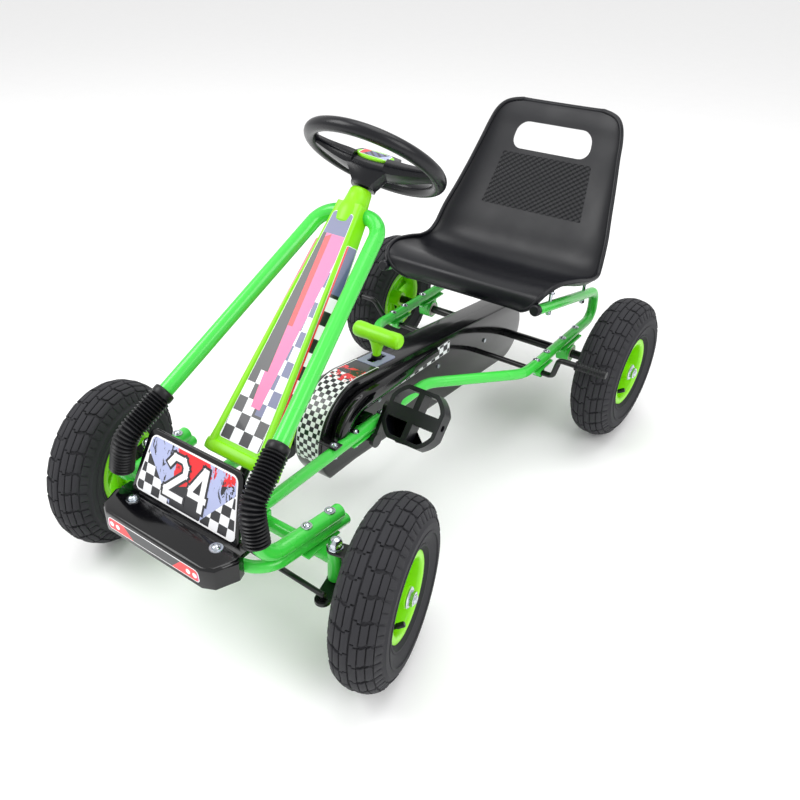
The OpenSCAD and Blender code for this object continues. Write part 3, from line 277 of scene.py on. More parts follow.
@dataclass(frozen=True)
class DiamondFinish(Finish):
    """A moulded plastic with a raised diamond pattern."""

    cell_mm: float = 7.0
    depth_mm: float = 0.6

    def relief(self, tree: NodeTree, place: NodeSocket) -> NodeSocket:
        """Build the grain with slanted waves over it, in both directions.

        Args:
            tree: The material's node tree.
            place: Object coordinates.

        Returns:
            The normal that the shader takes.
        """
        normal = super().relief(tree, place)
        for slant in (1.0, -1.0):
            mapped = add_node(tree, "ShaderNodeMapping", {"=Rotation": (0.0, slant * radians(55), 0.0)},
                              {"Vector": place})
            wave = add_node(tree, "ShaderNodeTexWave",
                            {"=Scale": math.tau / 20 / (self.cell_mm * MM), "bands_direction": "X"},
                            {"Vector": mapped.outputs["Vector"]})
            normal = add_node(tree, "ShaderNodeBump", {"=Distance": self.depth_mm * MM, "=Strength": 1.0},
                              {"Height": wave.outputs["Fac"], "Normal": normal}).outputs["Normal"]
        return normal


# The seat back's panel, with raised diamonds.
DIAMOND_PLASTIC = DiamondFinish("diamond_polypropylene", "#07080D", "#0A0B11", 0.4, ior=1.4, fine_mm=1.1,
                                fine_depth_mm=0.03)
# The steering wheel's softer, smoother plastic.
WHEEL_PLASTIC = Finish("wheel_polypropylene", "#07080E", "#0A0B12", 0.28, ior=1.42, fine_mm=1.0,
                       fine_depth_mm=0.015)
# Pale grey moulded plate.
PALE_PLASTIC = Finish("pale_grey_plate", "#8E93AC", "#868BA4", 0.4)


# ---- mesh helpers


def aimed(point: Vector, direction: Vector, up: Vector = Z_AXIS) -> Matrix:
    """Make a frame whose +Z points along a direction.

    Args:
        point: The frame's origin.
        direction: Where +Z points.
        up: A hint for +Y.

    Returns:
        The 4x4 matrix.
    """
    z = direction.normalized()
    side = up.cross(z)
    if side.length < 1e-6:
        side = X_AXIS.cross(z) if abs(z.x) < 0.9 else Y_AXIS.cross(z)
    x = side.normalized()
    y = z.cross(x)
    return move(point) @ Matrix((x, y, z)).transposed().to_4x4()


@dataclass
class Piece:
    """Turns a finished bmesh into one visible piece that rides on a body."""

    name: str
    body: str
    slot: str
    finishes: Sequence["Finish | Film"]
    replaces: Sequence[str] = ()
    smooth_deg: float = 35.0
    bevel_mm: float = 0.0
    subdivisions: int = 0

    def make(self, bm: BMesh) -> Object:
        """Write the mesh, dress it and tie it to its body.

        Args:
            bm: The mesh in the row frame, in metres. It is freed.

        Returns:
            The new object.
        """
        mesh = bpy.data.meshes.new(self.name)
        bm.to_mesh(mesh)
        bm.free()
        obj = bpy.data.objects.new(self.name, mesh)
        bpy.context.scene.collection.objects.link(obj)
        for finish in self.finishes:
            mesh.materials.append(finish.build())
        mesh.shade_smooth()
        if self.bevel_mm:
            bevel = obj.modifiers.new("edges", "BEVEL")
            bevel.width = self.bevel_mm * MM
            bevel.segments = 2
            bevel.limit_method = "ANGLE"
            bevel.angle_limit = radians(self.smooth_deg)
            bevel.use_clamp_overlap = True
            bevel.harden_normals = True
        if self.subdivisions:
            surface = obj.modifiers.new("surface", "SUBSURF")
            surface.levels = surface.render_levels = self.subdivisions
        mesh.set_sharp_from_angle(angle=radians(self.smooth_deg))
        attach(obj, self.body)
        if self.replaces:
            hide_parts(*self.replaces)
        log.info("piece %s: %d faces", self.name, len(mesh.polygons))
        return obj


def recalculated(bm: BMesh, merge_mm: float = 0.005) -> BMesh:
    """Merge doubled points and turn every face outwards.

    Args:
        bm: The mesh to clean.
        merge_mm: Points closer than this become one.

    Returns:
        The same mesh.
    """
    bmesh.ops.remove_doubles(bm, verts=bm.verts, dist=merge_mm * MM)
    bmesh.ops.recalc_face_normals(bm, faces=bm.faces)
    return bm


def new_faces(bm: BMesh, before: int, index: int) -> None:
    """Give a material index to the faces that were added after a count was taken.

    Args:
        bm: The mesh.
        before: The count.
        index: The material index.
    """
    bm.faces.ensure_lookup_table()
    for face in bm.faces[before:]:
        face.material_index = index


def box(bm: BMesh, low: Sequence[float], high: Sequence[float], place: Matrix | None = None,
        bevel: float = 0.0, segments: int = 2) -> list:
    """Add a box between two corners, with rounded edges.

    Args:
        bm: The mesh that gets it.
        low: Lowest corner.
        high: Highest corner.
        place: Moves the finished box.
        bevel: Radius of its edges.
        segments: Steps across a rounded edge.

    Returns:
        The box's points.
    """
    size = Vector(high) - Vector(low)
    middle = (Vector(high) + Vector(low)) / 2
    shape = move(middle) @ Matrix.Diagonal((*size, 1.0))
    verts = bmesh.ops.create_cube(bm, size=1.0, matrix=shape)["verts"]
    if bevel:
        edges = list({e for v in verts for e in v.link_edges})
        made = bmesh.ops.bevel(bm, geom=edges, offset=bevel, segments=segments, affect="EDGES",
                               profile=0.5, material=-1)
        verts = list({v for f in made["faces"] for v in f.verts} | {v for v in verts if v.is_valid})
        linked = set(verts)
        for face in [f for v in verts for f in v.link_faces]:
            linked.update(face.verts)
        verts = list(linked)
    if place is not None:
        bmesh.ops.transform(bm, matrix=place, verts=verts)
    return verts


def drum(bm: BMesh, place: Matrix, profile: Sequence[tuple[float, float]], sides: int = 48,
         closed: bool = False) -> list:
    """Turn a profile of radius and height about a frame's +Z.

    Args:
        bm: The mesh that gets it.
        place: The frame.
        profile: Radius and height of each corner, in turn. A radius of 0 closes a pole.
        sides: Steps round the axis.
        closed: Joins the last corner to the first.

    Returns:
        The new points.
    """
    points = [bm.verts.new((r, 0.0, z)) for r, z in profile]
    edges = [bm.edges.new(pair) for pair in zip(points, points[1:])]
    if closed:
        edges.append(bm.edges.new((points[-1], points[0])))
    before = set(bm.verts) - set(points)
    bmesh.ops.spin(bm, geom=points + edges, cent=(0, 0, 0), axis=(0, 0, 1), angle=math.tau, steps=sides,
                   use_merge=True)
    made = [v for v in bm.verts if v not in before]
    bmesh.ops.remove_doubles(bm, verts=made, dist=1e-6)
    made = [v for v in made if v.is_valid]
    faces = list({f for v in made for f in v.link_faces})
    bmesh.ops.recalc_face_normals(bm, faces=faces)
    bmesh.ops.transform(bm, matrix=place, verts=made)
    return made


@dataclass(frozen=True)
class Station:
    """One cross-section of a sweep: its frame, half its width and half its height."""

    place: Matrix
    width: float
    height: float


def rounded_route(corners: Sequence[Vector], bends: Sequence[float], step_deg: float = 7.0) -> list[Vector]:
    """Round the corners of a route with arcs.

    Args:
        corners: The route's corners.
        bends: The bend radius at each one. The ends' values aren't used.
        step_deg: Angle between neighbouring points of an arc.

    Returns:
        The route's points.
    """
    route = [corners[0]]
    for before, corner, after, bend in zip(corners, corners[1:], corners[2:], bends[1:]):
        come, leave = (corner - before).normalized(), (after - corner).normalized()
        turn = come.angle(leave)
        reach = bend * math.tan(turn / 2)
        inward = (leave - come * leave.dot(come)).normalized()
        start = corner - come * reach
        steps = max(2, round(math.degrees(turn) / step_deg))
        for i in range(steps + 1):
            a = turn * i / steps
            route.append(start + come * bend * sin(a) + inward * bend * (1 - cos(a)))
    route.append(corners[-1])
    return route


def along(route: Sequence[Vector]) -> list[Matrix]:
    """Frames along a route, turned as little as possible from one to the next.

    Args:
        route: The points in turn.

    Returns:
        One matrix for each point, with +Z along the route.
    """
    frames = []
    normal = None
    for i, point in enumerate(route):
        ahead = (route[min(i + 1, len(route) - 1)] - route[max(i - 1, 0)]).normalized()
        if normal is None:
            normal = ahead.orthogonal().normalized()
        normal = (normal - ahead * normal.dot(ahead)).normalized()
        other = ahead.cross(normal)
        frames.append(move(point) @ Matrix((normal, other, ahead)).transposed().to_4x4())
    return frames


def sweep(bm: BMesh, stations: Sequence[Station], sides: int = 28, closed_ends: bool = True,
          squareness: float = 0.0) -> list:
    """Draw a round or squarish section at each station and bridge them.

    Args:
        bm: The mesh that gets the sweep.
        stations: The sections in turn.
        sides: Corners of a section.
        closed_ends: Puts a lid on both ends.
        squareness: 0 for an ellipse, towards 1 for a rounded rectangle.

    Returns:
        The new points.
    """
    loops, made = [], []
    for station in stations:
        ring = bmesh.ops.create_circle(bm, cap_ends=False, segments=sides, radius=1.0)["verts"]
        for v in ring:
            stretch = 1 / max(abs(v.co.x), abs(v.co.y)) ** squareness
            v.co = station.place @ Vector((v.co.x * station.width * stretch,
                                           v.co.y * station.height * stretch, 0.0))
        loops.append(list({e for v in ring for e in v.link_edges}))
        made += ring
    for first, second in zip(loops, loops[1:]):
        bmesh.ops.bridge_loops(bm, edges=first + second)
    if closed_ends:
        for loop in (loops[0], loops[-1]):
            bmesh.ops.contextual_create(bm, geom=loop)
    faces = list({f for v in made for f in v.link_faces})
    bmesh.ops.recalc_face_normals(bm, faces=faces)
    return made


def tube(bm: BMesh, corners: Sequence[Vector], bends: Sequence[float], radius: float,
         round_ends: bool = False, sides: int = 28) -> list:
    """Bend a round tube along a route.

    Args:
        bm: The mesh that gets it.
        corners: The route's corners.
        bends: Bend radius at each corner.
        radius: The tube's outer radius.
        round_ends: Closes the ends with domes instead of flat lids.
        sides: Steps round the tube.

    Returns:
        The new points.
    """
    frames = along(rounded_route(corners, bends))
    stations = [Station(f, radius, radius) for f in frames]
    if round_ends:
        turns = [radians(a) for a in (80, 60, 40, 20)]
        first, last = frames[0], frames[-1]
        depth = radius * 0.45
        head = [Station(first @ move((0, 0, depth * (1 - sin(a)))),
                        radius * cos(a), radius * cos(a)) for a in turns]
        tail = [Station(last @ move((0, 0, -depth * (1 - sin(a)))),
                        radius * cos(a), radius * cos(a)) for a in reversed(turns)]
        inner_first = Station(first @ move((0, 0, depth)), radius, radius)
        inner_last = Station(last @ move((0, 0, -depth)), radius, radius)
        stations = head + [inner_first] + stations[1:-1] + [inner_last] + tail
    return sweep(bm, stations, sides)


def mirrored(bm: BMesh) -> None:
    """Add the mirror image of the whole mesh across the kart's middle plane.

    Args:
        bm: The mesh that gets it.
    """
    bmesh.ops.mirror(bm, geom=bm.verts[:] + bm.edges[:] + bm.faces[:], matrix=Matrix.Identity(4),
                     merge_dist=-1, axis="X", mirror_u=False)
    bmesh.ops.recalc_face_normals(bm, faces=bm.faces)


def domed_bolt(bm: BMesh, place: Matrix, radius: float = 3.0 * MM) -> None:
    """Add a domed bolt head on a washer, standing on a frame's XY plane.

    Args:
        bm: The mesh that gets it.
        place: The frame, with +Z out of the surface.
        radius: Radius of the bolt's shank.
    """
    r = radius
    drum(bm, place, [(0, 0), (2.5 * r, 0), (2.6 * r, 0.12 * r), (2.5 * r, 0.4 * r), (0, 0.4 * r)], 32)
    dome = [(1.7 * r * cos(radians(a)), (0.4 + 1.15 * sin(radians(a))) * r)
            for a in (0, 20, 40, 60, 78)]
    drum(bm, place, [(0, 0.38 * r), *dome, (0, 1.55 * r)], 28)


def hexagon_nut(bm: BMesh, place: Matrix, radius: float, height: float) -> None:
    """Add a chamfered hexagon nut that stands on a frame's XY plane.

    Args:
        bm: The mesh that gets it.
        place: The frame.
        radius: Radius over the corners.
        height: Height of the nut.
    """
    drum(bm, place, [(0, 0), (radius, 0), (radius, height * 0.85), (radius * 0.86, height), (0, height)], 6)


# ---- wheels


@dataclass
class Wheel:
    """One wheel: a treaded tyre on a moulded rim with its valve."""

    name: str
    body: str
    place: Matrix
    side: int
    steered: bool
    radius: float = TYRE_RADIUS * MM
    half_width: float = 38.5 * MM
    rim_radius: float = 62 * MM
    rim_half: float = 29 * MM
    block_height: float = 3.2 * MM
    pitches: int = 26
    spokes: int = 6

    def crown(self, s: float, height: float) -> tuple[float, float]:
        """Give a point of the tread's cross-section.

        Args:
            s: Distance along the crown from its middle.
            height: Height above the carcass.

        Returns:
            Radius from the axle and distance from the wheel's middle plane.
        """
        wide, tall = self.half_width - 1.2 * MM, 36 * MM
        base = self.radius - self.block_height
        angle = s / (0.5 * (wide + tall))
        squash = 0.62
        x = math.copysign(abs(sin(angle)) ** (1 - 0.18 * squash), angle)
        return base - tall * (1 - cos(angle)) + height * cos(angle), (
            wide * x + height * sin(angle))

    def wrap(self, v: Vector) -> Vector:
        """Bend a flat tread point (across, along, height) round the tyre.

        Args:
            v: The flat point.

        Returns:
            The point on the tyre.
        """
        r, x = self.crown(v.x, v.z)
        a = v.y / self.radius
        return Vector((x, -r * sin(a), r * cos(a)))

    def block(self, bm: BMesh, outline: Sequence[tuple[float, float]], height: float) -> None:
        """Raise one flat tread block from its outline, with a soft upper edge.

        Args:
            bm: The mesh that gets it.
            outline: The block's corners, anticlockwise.
            height: Height over the carcass.
        """
        verts = [bm.verts.new((x * MM, y * MM, -0.6 * MM)) for x, y in outline]
        face = bm.faces.new(verts)
        raised = bmesh.ops.extrude_face_region(bm, geom=[face])["geom"]
        top = [v for v in raised if isinstance(v, BMVert)]
        bmesh.ops.translate(bm, vec=(0, 0, height + 0.6 * MM), verts=top)
        lid = [e for v in top for e in v.link_edges if all(p in top for p in e.verts)]
        bmesh.ops.bevel(bm, geom=list(set(lid)), offset=0.7 * MM, segments=2, affect="EDGES", profile=0.5,
                        material=-1)
        bmesh.ops.delete(bm, geom=[face], context="FACES_ONLY")

    def tread(self, bm: BMesh) -> None:
        """Lay one pitch of blocks flat, repeat it along the tyre and wrap it round.

        Args:
            bm: The mesh that gets it.
        """
        pitch = math.tau * self.radius / MM / self.pitches
        flat = bmesh.new()
        gap, jog = 1.1, 3.2
        columns = [(0.7, 8.2, 1), (9.4, 17.4, 1), (18.8, 27.4, 2)]
        for side in (-1, 1):
            shift = 0.5 * pitch if side > 0 else 0.0
            for number, (near, far, kind) in enumerate(columns):
                low, high = shift + gap, shift + pitch - gap
                step = jog if number % 2 else 0.0
                middle = (near + far) / 2
                if kind == 2:
                    cuts = [(near, low + 1.5), (middle, low - 1.0), (far, low + 3.0), (far, high - 3.0),
                            (middle, high - 1.0), (near, high - 1.5)]
                elif number == 0:
                    cuts = [(near, low), (middle, low), (middle, low + jog), (far, low + jog),
                            (far, high + jog), (middle, high + jog), (middle, high), (near, high)]
                else:
                    cuts = [(near, low + step), (middle, low + step), (far, low), (far, high - step),
                            (middle, high), (near, high)]
                self.block(flat, [(x * side, y) for x, y in (cuts if side > 0 else cuts[::-1])],
                           self.block_height)
            lug = [(29.0, shift + 2.5), (40.5, shift + 4.5), (42.5, shift + 0.42 * pitch),
                   (40.5, shift + 0.5 * pitch), (29.0, shift + 0.56 * pitch)]
            second = [(x, y + 0.5 * pitch - 1.2) for x, y in lug]
            for outline in (lug, second):
                self.block(flat, [(x * side, y) for x, y in (outline if side > 0 else outline[::-1])],
                           1.6 * MM)
        one = flat.verts[:] + flat.edges[:] + flat.faces[:]
        for i in range(1, self.pitches):
            copy = bmesh.ops.duplicate(flat, geom=one)["geom"]
            bmesh.ops.translate(flat, vec=(0, i * pitch * MM, 0),
                                verts=[v for v in copy if isinstance(v, BMVert)])
        bmesh.ops.recalc_face_normals(flat, faces=flat.faces)
        for v in flat.verts:
            v.co = self.wrap(v.co)
        joined = bpy.data.meshes.new("tread")
        flat.to_mesh(joined)
        flat.free()
        bm.from_mesh(joined)
        bpy.data.meshes.remove(joined)

    def carcass(self, bm: BMesh) -> None:
        """Spin the tyre's hollow cross-section about the axle.

        Args:
            bm: The mesh that gets it.
        """
        reach = 46 * MM
        outer = [self.crown(reach * t / 12, 0.0) for t in range(-12, 13)]
        bead, wall = self.rim_radius + 1.0 * MM, 7 * MM
        side = self.half_width
        sidewall = [(100, 0.985), (94, 1.0), (90.5, 0.985), (90, 1.02), (87.6, 1.02), (87, 0.97),
                    (78, 0.9), (72, 0.84), (71, 0.87), (68.5, 0.86), (67.5, 0.8), (64.5, 0.72)]
        right = [(r * MM, side * share) for r, share in sidewall]
        seat = self.rim_half - 2.4 * MM
        inner = [(bead, seat), (bead - 6 * MM, seat), (bead - 6 * MM, seat - wall),
                 (self.radius - 14 * MM, self.half_width * 0.5)]
        left = [(r, -x) for r, x in inner[::-1]] + [(r, -x) for r, x in right[::-1]]
        outline = left + [(r, x) for r, x in outer] + right + inner
        drum(bm, spin(math.pi / 2, 4, "Y"), outline, 104, closed=True)

    def tyre(self) -> None:
        """Build the tyre with its tread."""
        bm = bmesh.new()
        self.carcass(bm)
        self.tread(bm)
        bmesh.ops.transform(bm, matrix=self.place, verts=bm.verts)
        Piece(f"tyre_{self.name}_piece", self.body, "tyre_rubber", [TYRE_RUBBER],
              [f"tyre_{self.name}"], smooth_deg=38).make(bm)

    def rim(self) -> None:
        """Build the rim: lipped barrel, hub and ribbed spokes."""
        bm = bmesh.new()
        turned = spin(math.pi / 2, 4, "Y")
        r, h = self.rim_radius / MM, self.rim_half / MM
        half = [(r - 1.5, h), (r, h - 0.8), (r, h - 2.2), (r - 1.2, h - 3.0), (r - 7.2, h - 3.4),
                (r - 8, h - 5)]
        inside = [(r - 11.6, h - 5.5), (r - 10.6, h - 1.6), (r - 8.6, h), (r - 4, h + 0.6)]
        outline = (half + [(a, -b) for a, b in half[::-1]]
                   + [(a, -b) for a, b in inside[::-1]] + [(r - 12.4, 0)] + inside)
        drum(bm, turned, mm(*outline), 72, closed=True)
        bore = 10.2 if self.steered else 8.6
        hub = [(bore, -29.5), (14, -29.5), (15, -28.5), (16, -6), (19, -4), (19, 4), (16, 6), (15, 28.5),
               (14, 29.5), (bore, 29.5)]
        drum(bm, turned, mm(*hub), 48, closed=True)
        for i in range(self.spokes):
            turn = spin(math.tau * i / self.spokes, 4, "X")
            self.spoke(bm, turn)
        bmesh.ops.transform(bm, matrix=self.place, verts=bm.verts)
        Piece(f"rim_{self.name}_piece", self.body, "lime_plastic", [LIME_PLASTIC], [f"rim_{self.name}"],
              smooth_deg=40).make(bm)

    def spoke(self, bm: BMesh, turn: Matrix) -> None:
        """Add one spoke: a web that widens outwards, with a rib along each edge.

        Args:
            bm: The mesh that gets it.
            turn: Turns the spoke to its place round the axle.
        """
        inner, outer = 16 * MM, self.rim_radius - 11 * MM
        low, high = 6.5 * MM, 12 * MM
        web = box(bm, (-2.2 * MM, -1, inner), (2.2 * MM, 1, outer))
        for v in web:
            share = (v.co.z - inner) / (outer - inner)
            v.co.y = math.copysign(low + (high - low) * share ** 1.5, v.co.y)
        bmesh.ops.transform(bm, matrix=turn, verts=web)
        for side in (-1, 1):
            rib = box(bm, (-8 * MM, -1.3 * MM, inner), (8 * MM, 1.3 * MM, outer), bevel=0.9 * MM)
            for v in rib:
                share = (v.co.z - inner) / (outer - inner)
                v.co.y += side * (low + (high - low) * share ** 1.5 - 1.3 * MM)
                v.co.x *= 1 - 0.35 * (1 - share)
            bmesh.ops.transform(bm, matrix=turn, verts=rib)

    def valve(self) -> None:
        """Build the valve stem with its black cap, which leans out of the rim's barrel."""
        bm = bmesh.new()
        lean = aimed(Vector((self.side * 12 * MM, 0, -self.rim_radius + 15 * MM)),
                     Vector((self.side * 0.85, 0, 0.55)))
        drum(bm, lean, mm((0, -9), (4.2, -9), (4.2, 0), (3.2, 2),
                        (3.2, 13), (4.0, 13.5), (4.0, 23),
                        (3.2, 24.5), (0, 24.5)), 20)
        turn = spin(radians(-35 * self.side), 4, "X")
        bmesh.ops.transform(bm, matrix=self.place @ turn, verts=bm.verts)
        Piece(f"valve_{self.name}", self.body, "black_rubber", [BELLOWS_PVC], smooth_deg=30).make(bm)

    def build(self) -> None:
        """Build the whole wheel."""
        self.tyre()
        self.rim()
        self.valve()


def wheel_places() -> list[Wheel]:
    """Work out where the four wheels stand, the front ones turned to their rest angle.

    Returns:
        The four wheels.
    """
    wheels = []
    for side, word in SIDES:
        kingpin = at(side * (FRONT_TRACK / 2 - KINGPIN_OFFSET), 0, 0)
        turn = move(kingpin) @ spin(REST_STEER, 4, "Z")
        front = turn @ move((side * KINGPIN_OFFSET * MM, 0, 0))
        rear = move(at(side * REAR_TRACK / 2, WHEELBASE, 0))
        wheels.append(Wheel(f"front_{word}", f"front_wheel_{word}", front, side, True))
        wheels.append(Wheel(f"rear_{word}", "rear_wheels", rear, side, False))
    return wheels


@dataclass
class HubNuts:
    """The plated washers and nuts that hold the wheels, and their free axle ends."""

    nut_radius: float = 10.5 * MM

    def cluster(self, bm: BMesh, place: Matrix, out: float) -> None:
        """Add a cup washer, a flanged nut and a domed end, along a frame's +Z from out.

        Args:
            bm: The mesh that gets it.
            place: The frame.
            out: Where the cluster starts.
        """
        drum(bm, place, [(6 * MM, out), (14 * MM, out), (14.6 * MM, out + 0.8 * MM), (13 * MM, out + 2 * MM),
                         (6 * MM, out + 2.4 * MM)], 36)
        hexagon_nut(bm, place @ move((0, 0, out + 2 * MM)), self.nut_radius, 6 * MM)
        drum(bm, place @ move((0, 0, out + 7 * MM)),
             mm((7, 0), (6.8, 1.5), (5, 3.2), (0, 4)), 24)

    def build(self) -> None:
        """Build the four clusters on the bodies that carry them."""
        for wheel in wheel_places():
            bm = bmesh.new()
            self.cluster(bm, wheel.place @ spin(wheel.side * math.pi / 2, 4, "Y"), 30.2 * MM)
            body = f"knuckle_{'left' if wheel.side > 0 else 'right'}" if wheel.steered else "rear_wheels"
            replaced = ["axle_nuts"] if not wheel.steered and wheel.side > 0 else []
            Piece(f"hub_nut_{wheel.name}", body, "zinc_steel", [ZINC_PLATE], replaced,
                  smooth_deg=25).make(bm)


# ---- frame tubes


@dataclass
class Frame:
    """The powder-coated tubes, with the places that the covers and bolts share."""

    hoop_radius: float = 11.0
    bumper_radius: float = 8.5
    beam_radius: float = 10.0
    rail_radius: float = 9.25
    tail: tuple = (147, 52, 60)
    foot: tuple = (131, -90, 60)
    knee: tuple = (115, -84, 137)
    top: tuple = (50, 269, 371)
    bumper_z: float = 40.1
    beam_z: float = 21.2
    hoop_bolt_at: tuple = (79, 121)

    def side_points(self, side: int) -> list[Vector]:
        """Give the hoop's corners on one side, from its lower end to the top."""
        return [at(side * x, y, z) for x, y, z in (self.tail, self.foot, self.knee, self.top)]

    def hoop(self) -> None:
        """Build the hoop that runs from one front end over the column to the other."""
        bm = bmesh.new()
        corners = self.side_points(1) + self.side_points(-1)[::-1]
        tube(bm, corners, [b * MM for b in (0, 34, 40, 34, 34, 40, 34, 0)], self.hoop_radius * MM, True)
        tilt = spin(-COLUMN_TILT, 4, "X")
        sleeve = move(at(*COLUMN_TOP)) @ tilt @ move((0, 0, -97 * MM))
        drum(bm, sleeve, mm((8.4, 0), (10.3, 0), (10.3, 28), (8.4, 28)), 32, True)
        Piece("front_hoop_tube", "frame", "green_paint", [GREEN_COAT], ["front_hoop"]).make(bm)

    def bumper(self) -> None:
        """Build the bumper tube and the two tabs that the cover is screwed to."""
        bm = bmesh.new()
        run = (Vector(self.tail) - Vector(self.foot)).normalized()
        tail, corner = Vector(self.foot) + run * 155, Vector(self.foot) - run * 2
        right = [at(s * p.x, p.y, self.bumper_z)
                 for s, p in ((1, tail), (1, corner), (-1, corner), (-1, tail))]
        tube(bm, right, [0, 45 * MM, 45 * MM, 0], self.bumper_radius * MM, True)
        for side in (-1, 1):
            low, high = at(side * 78 - 9, -121, 45.6), at(side * 78 + 9, -92.2, 48.6)
            box(bm, low, high, bevel=0.8 * MM)
        Piece("bumper_bow", "frame", "green_paint", [GREEN_COAT], ["bumper_tube"]).make(bm)

    def beam(self) -> None:
        """Build the front beam with its head tubes, saddles and gussets."""
        bm = bmesh.new()
        kingpin = FRONT_TRACK / 2 - KINGPIN_OFFSET
        tube(bm, [at(-kingpin, 5, self.beam_z), at(kingpin, 5, self.beam_z)], [0, 0], self.beam_radius * MM)
        for side in (-1, 1):
            drum(bm, move(at(side * kingpin, 0, -6)),
                 mm((7.95, 0), (10, 0), (10.5, 0.6), (10.5, 47.4),
                  (10, 48), (7.95, 48)), 40, True)
            box(bm, at(side * 140 - 13, -24, 28.2), at(side * 140 + 13, 42, 31.2), bevel=1 * MM)
            box(bm, at(side * 50 - 7, -2, 27), at(side * 50 + 7, 12, 39.3), bevel=1 * MM)
        tilt = spin(-COLUMN_TILT, 4, "X")
        sleeve = move(at(*COLUMN_TOP)) @ tilt @ move((0, 0, -549 * MM))
        drum(bm, sleeve, mm((8.4, 0), (10.3, 0), (10.3, 28), (8.4, 28)), 32, True)
        Piece("front_beam_tube", "frame", "green_paint", [GREEN_COAT], ["front_beam"]).make(bm)

    def rails(self) -> None:
        """Build the two side rails that bend up into the seat's rails."""
        out_y = WHEELBASE - 182
        route = [(50, -14, 49), (50, 410, 49), (155, out_y, 35), (155, out_y + 70, 32),
                 (155, WHEELBASE + 104, 32), (155, WHEELBASE + 96, 91), (155, WHEELBASE - 164, 151)]
        for side, word in SIDES:
            bm = bmesh.new()
            tube(bm, [at(side * x, y, z) for x, y, z in route],
                 [b * MM for b in (0, 60, 60, 60, 24, 24, 0)], self.rail_radius * MM)
            Piece(f"rail_{word}_tube", "frame", "green_paint", [GREEN_COAT], [f"side_rail_{word}"]).make(bm)

    def hoop_bolts(self) -> None:
        """Build the domed bolts that join the hoop's ends, the bumper tube and the beam."""
        bm = bmesh.new()
        run = (Vector(self.tail) - Vector(self.foot)).normalized()
        for side in (-1, 1):
            for reach in self.hoop_bolt_at:
                spot = Vector(self.foot) + run * reach
                top = at(side * spot.x, spot.y, 60 + self.hoop_radius - 0.6)
                domed_bolt(bm, move(top))
                hexagon_nut(bm, move(at(side * spot.x, spot.y, 22.6)), 5.2 * MM, 5 * MM)
        Piece("hoop_bolt_heads", "frame", "zinc_steel", [ZINC_PLATE], ["hoop_bolts"], smooth_deg=25).make(bm)

    def rail_bolts(self) -> None:
        """Build the bolts through the rails: beam, case, crank, axle and brake brackets."""
        bm = bmesh.new()
        near, far = self.rail_radius + 49, self.rail_radius + 32
        spots = [(50, 5, near), (50, 160, near + 3.4), (50, 211, near), (50, 279, near),
                 (155, WHEELBASE - 27.5, far), (155, WHEELBASE + 27.5, far),
                 (155, WHEELBASE - 133, far), (155, WHEELBASE - 93, far)]
        for side in (-1, 1):
            for x, y, z in spots:
                domed_bolt(bm, move(at(side * x, y, z - 0.5)), 2.6 * MM)
                below = 2 * self.rail_radius + (3.4 if y not in (5, 160) else 0.0)
                nut = at(side * x, y, z - below - 5.0)
                hexagon_nut(bm, move(nut), 5.2 * MM, 5 * MM)
        Piece("rail_bolt_heads", "frame", "zinc_steel", [ZINC_PLATE], ["rail_bolts"], smooth_deg=25).make(bm)

    def kingpins(self) -> None:
        """Build the kingpins' domed nuts, washers and lower heads."""
        kingpin = FRONT_TRACK / 2 - KINGPIN_OFFSET
        for side, word in SIDES:
            bm = bmesh.new()
            high = move(at(side * kingpin, 0, 46.5))
            drum(bm, high, mm((0, 0), (10.2, 0), (10.6, 0.5), (10.2, 2), (9.2, 2),
                            (9.4, 3), (9.4, 9), (8.6, 12), (6.4, 15),
                            (3.4, 16.6), (0, 17)), 40)
            drum(bm, high, mm((5.9, -52), (5.9, 0.5)), 32)
            hexagon_nut(bm, move(at(side * kingpin, 0, -17)), 9.6 * MM, 5 * MM)
            Piece(f"kingpin_{word}_pin", f"knuckle_{word}", "zinc_steel", [ZINC_PLATE], [f"kingpin_{word}"],
                  smooth_deg=25).make(bm)

    def build(self) -> None:
        """Build every tube and its bolts."""
        self.hoop()
        self.bumper()
        self.beam()
        self.rails()
        self.hoop_bolts()
        self.rail_bolts()
        self.kingpins()


